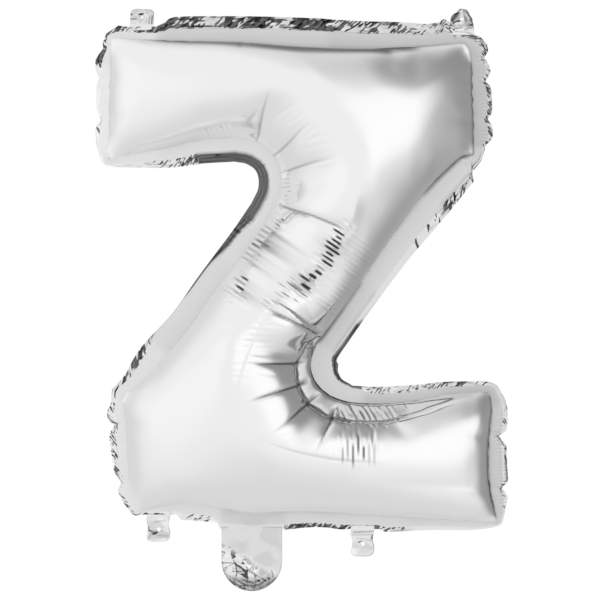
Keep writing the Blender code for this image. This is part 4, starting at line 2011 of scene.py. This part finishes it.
@dataclass(frozen=True)
class Curl:
    """A bend of a flat sheet round a straight line on it.

    What lies beyond the line, on the side that away_deg points to, winds round a
    cylinder of the radius, by no more than the turn. A positive turn is away from
    the viewer.
    """

    through: Place
    away_deg: float
    radius: float
    turn_deg: float

    def bent(self, points: Array) -> Array:
        """The points of a sheet once it is bent.

        Args:
            points: The sheet's points, (n, 3), whose y is the depth.

        Returns:
            The points of the bent sheet.
        """
        a = math.radians(self.away_deg)
        way = np.array([math.cos(a), 0.0, math.sin(a)])
        reach = (points - (self.through[0], 0.0, self.through[1])) @ way
        sign = math.copysign(1.0, self.turn_deg)
        most = abs(math.radians(self.turn_deg))
        angle = np.clip(reach / self.radius, 0, most)
        spare = np.maximum(reach - most * self.radius, 0)
        depth = points[:, 1] * sign
        radius = self.radius - depth
        along = radius * np.sin(angle) + spare * np.cos(angle)
        deep = self.radius - radius * np.cos(angle) + spare * np.sin(angle)
        moved = points - np.maximum(reach, 0)[:, None] * way
        moved = moved + np.where(reach > 0, along, 0)[:, None] * way
        moved[:, 1] = np.where(reach > 0, sign * deep, points[:, 1])
        return moved


@dataclass(frozen=True)
class ShadeStroke:
    """A line of painted shade on a flat sheet, from the first point to the last."""

    line: Line
    width: float
    level: float

    def shade(self, flat: Array) -> Array:
        """How much painted shade the stroke puts at points of the sheet."""
        across = self.line.locate(flat)[0]
        return self.level * np.exp(-((across / self.width) ** 2))


def shade_strokes(*rows: tuple[Place, Place, float, float]) -> tuple[ShadeStroke, ...]:
    """Strokes of painted shade from rows of their two ends, width and level."""
    return tuple(ShadeStroke(line(start, end), width, level) for start, end, width, level in rows)


@dataclass
class HangTab:
    """One hanging tab with its eyelet, folded on the sealed edge."""

    node: str
    body: Body
    fold: Place
    up: int
    lean_deg: float
    crumple: float
    facet: float
    seed: int
    # dark is the share of painted dark slivers on the tab's free part, and the shade strokes paint
    # lines of shade
    dark: float = 0.0
    curls: tuple[Curl, ...] = ()
    shade_strokes: tuple[ShadeStroke, ...] = ()
    waist: float = 0.0
    corner: float = 4.0
    width: float = 16.0
    length: float = 17.5
    eyelet_radius: float = 1.6
    eyelet_at: float = 9.0
    rim_radius: float = 0.3
    root_reach: float = 3.5
    step: float = 0.6
    blend_over: float = 4.0
    wall: float = 0.3
    pinched_at: float = 7.0

    def shaped(self, flat: Array) -> tuple[Array, Array]:
        """Where points of the flat tab lie, from its fold line out.

        Args:
            flat: Points across and along the tab, (n, 2).

        Returns:
            Their places in space, in millimetres, and the share of painted dark slivers there.
        """
        box = ((-self.width, -self.length), (self.width, 2 * self.length))
        height = Facets(*box, (1.8 * self.facet, 0.7 * self.facet), self.seed).at(flat)[0]
        free = smoothstep(flat[:, 1], -1.0, 3.0)
        pinch = np.exp(-(((flat[:, 1] - self.pinched_at) / 4) ** 2)) * (np.abs(flat[:, 0]) > 3)
        lean_over = 0.4 * self.waist * 8 * np.sin(flat[:, 1] / 2.3)
        across = flat[:, 0] * (1 - self.waist * pinch) + lean_over
        points = np.stack([across, self.crumple * height * free, flat[:, 1]], axis=1)
        for curl in self.curls:
            points = curl.bent(points)
        lean = Curl((0.0, 0.0), 90.0, 1.2, self.lean_deg)
        points = lean.bent(points) if self.lean_deg else points
        turn = (self.up, 1.0, self.up)
        points = points * turn + (self.fold[0], -0.25, self.fold[1])
        return points, self.dark * free

    def build(self) -> None:
        """The tab and its eyelet's rim as pieces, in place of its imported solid."""
        half, corner = self.width / 2, self.corner
        outline = np.vstack([
            [(half, -self.root_reach)],
            arc((half - corner, self.length - corner), corner, 0, 90, 9),
            arc((corner - half, self.length - corner), corner, 90, 180, 9),
            [(-half, -self.root_reach)],
        ])
        eyelet = arc((0, self.eyelet_at), self.eyelet_radius, 0, 360, 29)[:-1]
        flat, triangles = flat_mesh(outline, (eyelet,), self.step)
        points, shards = self.shaped(flat)
        # A faint even painted shade, and the strokes' painted shade
        shade = np.maximum.reduce([np.full(len(flat), 0.02), *(s.shade(flat) for s in self.shade_strokes)])
        made = piece(self.node + "_film", points, triangles, [TAB_FINISH], shade, None, 18, shards)
        made.visible_glossy = False
        rim = Tube.along(self.node + "_eyelet", self.shaped(eyelet)[0], self.rim_radius, TAB_FINISH)
        for part, replaced in ((walled(made, self.wall), (self.node,)), (rim, ())):
            bend_between(part)
            hand_over(part, Slot.TAB, *replaced)


@dataclass
class FillingTail:
    """The tail below the neck: two crumpled films with the valve film between them."""

    centre_x: float = -33.0
    width: float = 41.5
    fold_z: float = -351.4
    tip_z: float = -391.8
    root_reach: float = 3.5
    step: float = 0.6
    slack_from: float = -370.0
    swell: float = 1.8
    soft_crumple: float = 0.35
    crumple: float = 2.4
    wall: float = 0.25
    valve_wall: float = 0.15

    def build(self) -> None:
        """Both films and the valve film as pieces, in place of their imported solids."""
        for name, side, seed in (("tail_front_film", -1, 5), ("tail_back_film", 1, 11)):
            self.film(name, side, seed)
        self.valve()

    def outline(self, width: float, root_z: float, tip_z: float) -> Array:
        """A strip with a round lower end.

        Args:
            width: The strip's width.
            root_z: Its straight end's z.
            tip_z: Its round end's z.

        Returns:
            The outline's points, (n, 2).
        """
        half = width / 2
        return np.vstack([
            [(self.centre_x - half, root_z)],
            arc((self.centre_x, tip_z + half), half, 180, 360, 30),
            [(self.centre_x + half, root_z)],
        ])

    def film(self, name: str, side: int, seed: int) -> None:
        """One crumpled film of the tail.

        Args:
            name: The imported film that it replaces.
            side: -1 at the front and 1 at the back.
            seed: The start of the chance.
        """
        outline = self.outline(self.width, self.fold_z + self.root_reach, self.tip_z)
        flat, triangles = flat_mesh(outline, (), self.step)
        gap = distance_to(outline, flat)
        box = ((-56.0, -395.0), (-10.0, -345.0))
        sharp, chance, border = Facets(*box, (9.0, 6.0), seed).at(flat)
        soft = Facets(*box, (16.0, 3.4), seed + 1).at(flat)[0]
        fine, mottle, fine_border = Facets(*box, (4.2, 2.6), seed + 2).at(flat)
        slope = 0.55 * (flat[:, 0] - self.centre_x)
        slack = smoothstep(-flat[:, 1] - slope, -self.slack_from - 2, -self.slack_from + 5)
        edge = smoothstep(gap, 0, 2.5)
        swell = self.swell * smoothstep(gap, 0, 8) * (0.35 + 0.65 * slack)
        crumple = self.crumple * sharp * slack + self.soft_crumple * soft + 0.5 * fine * slack
        y = side * (0.3 + np.maximum(swell + crumple * edge, -0.15))
        # Painted shade for the crumples' dark reflections: a streaked dark band at the round bottom, a
        # dark rim line, black facet outlines and facets, grey facets, and a grey over the smooth upper
        # part; a few painted dark slivers are added where it is slack
        low = smoothstep(-flat[:, 1] + 0.1 * np.abs(flat[:, 0] - self.centre_x), 381, 386)
        rim = 0.45 * np.exp(-((gap / 0.8) ** 2)) * smoothstep(-flat[:, 1], 366, 376)
        right = smoothstep(flat[:, 0] - self.centre_x, 0, 10)
        outline = (border < 0.035) & (mottle > 0.35)
        black = (0.95 - 0.55 * right) * (outline | ((chance < 0.12) & (mottle < 0.7))) * slack
        grey = 0.3 * ((mottle > 0.72) | (right * slack > 0.5)) * slack
        painted_grey = 0.14 + 0.1 * smoothstep(soft, -0.2, 0.5)
        streak = 0.62 + 0.22 * np.sin(2.1 * gap + 1.3 * np.sin(flat[:, 0] / 3))
        streak = streak - 0.3 * (fine_border > 0.2)
        shade = np.maximum.reduce([black, grey, painted_grey * (1 - slack), low * streak, rim])
        points = np.stack([flat[:, 0], y, flat[:, 1]], axis=1)
        facing = triangles if side < 0 else triangles[:, ::-1]
        made = piece(name + "_skin", points, facing, [TAIL_FINISH], shade, None, 14, 0.06 * slack)
        made.visible_glossy = False
        self.hang(walled(made, self.wall), Slot.TAIL, name)

    def valve(self) -> None:
        """The flat valve film between the two skins."""
        flat, triangles = flat_mesh(self.outline(26.0, -350.0, -382.4), (), 2.0)
        points = np.stack([flat[:, 0], np.zeros(len(flat)), flat[:, 1]], axis=1)
        made = piece("valve_strip", points, triangles, [VALVE_FINISH])
        made.visible_glossy = False
        self.hang(walled(made, self.valve_wall), Slot.VALVE, "valve_film")

    def hang(self, made: bpy.types.Object, slot: Slot, replaced: str) -> None:
        """Bakes a piece's placement into its mesh and hands it over."""
        bend_between(made)
        hand_over(made, slot, replaced)


# The tabs' strokes are painted shade: dark lines along folds and wrinkles, and darker bands on shaded
# faces
TABS = (
    HangTab(
        "tab_top_left", Body.TOP_LEFT_TAB, (-108.5, -4.2), 1, 49, 0.6, 6.0, 3, 0.02,
        shade_strokes=shade_strokes(
            ((-7, 15.4), (2.5, 15.6), 0.5, 0.3),
            ((-7.5, 13), (3, 13), 0.5, 0.3),
            ((-7.5, 10.6), (1, 10.4), 0.5, 0.25),
            ((-8, 6.2), (-4.5, 6.4), 0.8, 0.95),
            ((5, 1), (5.2, 9), 0.4, 0.7),
            ((6.8, 1), (7, 10.5), 0.5, 0.9),
            ((3.2, 3), (3.5, 8), 0.4, 0.35),
        ),
    ),
    HangTab(
        "tab_top_right", Body.TOP_RIGHT_TAB, (111.0, -7.5), 1, 33, 0.5, 3.4, 8, 0.12,
        (Curl((-3.2, 11.0), 135.0, 2.2, -150.0), Curl((5.2, 9.0), 20.0, 2.6, 95.0)),
        shade_strokes(
            ((-6.5, 8.5), (-3.5, 13), 2.4, 0.95),
            ((4, 3), (7.5, 14), 2.6, 0.4),
            ((-5, 1), (0, 2), 0.6, 0.7),
            ((-3, 4), (5, 3.4), 0.5, 0.6),
            ((2, 0), (6, 1.5), 0.6, 0.6),
        ),
    ),
    HangTab(
        "tab_bottom_left", Body.BOTTOM_LEFT_TAB, (-97.0, -340.5), -1, 0, 2.0, 4.6, 4, 0.03,
        shade_strokes=shade_strokes(
            ((-5, 3), (3, 4.2), 0.6, 0.3),
            ((-6, 13.6), (1, 12.8), 0.8, 0.3),
            ((5, 11), (7, 16), 0.7, 0.4),
        ),
        waist=0.1,
    ),
    HangTab(
        "tab_bottom_right", Body.BOTTOM_RIGHT_TAB, (42.8, -350.5), -1, 0, 2.0, 4.6, 6, 0.03,
        shade_strokes=shade_strokes(
            ((-7, 0.5), (6, 1.2), 0.5, 0.6),
            ((-6, 2.6), (7, 3), 0.5, 0.4),
            ((-7.6, 3), (-7.4, 5), 0.8, 0.9),
            ((-4, 6), (4, 5), 0.5, 0.3),
        ),
        waist=0.12,
    ),
)


@dataclass(frozen=True)
class SoftPanel:
    """A part of the tent that is lit or shaded: its middle direction, size and level.

    Azimuth 0 is the side the letter is read from and 90 its right, in degrees.
    The level holds within inner_deg of the middle and is gone beyond outer_deg.
    """

    azimuth: float
    elevation: float
    inner_deg: float
    outer_deg: float
    level: float

    def axis(self) -> tuple[float, float, float]:
        """The direction of its middle."""
        a, e = math.radians(self.azimuth), math.radians(self.elevation)
        return (math.sin(a) * math.cos(e), -math.cos(a) * math.cos(e), math.sin(e))


@dataclass
class Studio:
    """A white light tent, with its soft panels, a pale floor and the camera."""

    centre_z: float = -192.5
    view_mm: float = 411.0
    distance: float = 2.4
    sensor: float = 36.0
    tent_level: float = 0.92
    floor_z: float = -0.47
    floor_radius: float = 0.8
    panels: tuple[SoftPanel, ...] = (
        SoftPanel(180, -70, 5, 100, 0.75),
        SoftPanel(122, 8, 5, 88, 0.33),
        SoftPanel(90, 45, 6, 51, 0.29),
        SoftPanel(-147, -3, 12, 65, 0.73),
        SoftPanel(36, 14, 6, 32, 1.06),
        SoftPanel(-54, 11, 15, 30, 0.97),
        SoftPanel(155, 24, 10, 36, 0.02),
    )

    def build(self) -> None:
        """Makes the tent, the floor and the camera."""
        self.tent()
        self.floor()
        self.camera()
        bpy.context.scene.view_settings.view_transform = "Standard"

    def camera(self) -> None:
        """A long lens square on to the letter, framing what the photograph frames."""
        lens = bpy.data.cameras.new("camera")
        lens.sensor_width = self.sensor
        lens.lens = self.sensor * self.distance / (self.view_mm * MM)
        made = placed("camera", lens)
        made.location = (0, -self.distance, self.centre_z * MM)
        made.rotation_euler = (math.pi / 2, 0, 0)
        bpy.context.scene.camera = made

    def floor(self) -> None:
        """A pale round floor below the balloon, which the film doesn't mirror."""
        builder = bmesh.new()
        bmesh.ops.create_circle(builder, cap_ends=True, segments=96, radius=self.floor_radius)
        mesh = bpy.data.meshes.new("floor")
        builder.to_mesh(mesh)
        builder.free()
        made = placed("floor", mesh)
        made.location = (0, 0, self.floor_z)
        made.visible_glossy = False
        paint = bpy.data.materials.new("pale_floor")
        paint.use_nodes = True
        shader = paint.node_tree.nodes["Principled BSDF"]
        shader.inputs["Base Color"].default_value = (0.9, 0.9, 0.9, 1)
        shader.inputs["Roughness"].default_value = 0.9
        mesh.materials.append(paint)

    def tent(self) -> None:
        """The world: white to the camera, and softly painted panels to the film."""
        world = bpy.data.worlds.new("tent")
        bpy.context.scene.world = world
        world.use_nodes = True
        wiring = Wiring(world.node_tree)
        way = wiring.socket("ShaderNodeTexCoord", "Generated")
        level = self.tent_level
        for panel in self.panels:
            aim = {0: way, 1: panel.axis()}
            aim = wiring.socket("ShaderNodeVectorMath", "Value", aim, operation="DOT_PRODUCT")
            edges = (math.cos(math.radians(a)) for a in (panel.outer_deg, panel.inner_deg))
            given = {"Factor": wiring.stepped(aim, *edges), "A": level, "B": panel.level}
            level = wiring.socket("ShaderNodeMix", "Result", given)
        white = (1, 1, 1, 1)
        lit, seen = (
            wiring.socket("ShaderNodeBackground", "Background", {"Color": white, "Strength": strength})
            for strength in (level, 1.0)
        )
        chosen = {"Fac": wiring.socket("ShaderNodeLightPath", "Is Camera Ray"), 1: lit, 2: seen}
        surface = wiring.socket("ShaderNodeMixShader", "Shader", chosen)
        wiring.put(surface, world.node_tree.nodes["World Output"].inputs["Surface"])


def main() -> None:
    """Builds every piece of the balloon in order."""
    plan = SeamPlan.from_frame(step=0.8)
    manners = EdgeManners(plan)
    form = Inflation(plan.points).form()
    FilmPanel("front_foil", "front_panel", -1, manners, form).build()
    FilmPanel("back_foil", "back_panel", 1, manners, form, fine_step=1.6).build()
    SealedEdge(manners).build()
    for tab in TABS:
        tab.build()
    FillingTail().build()
    Studio().build()


if __name__ == "__main__":
    logging.basicConfig(level=logging.INFO, format="%(message)s")
    main()
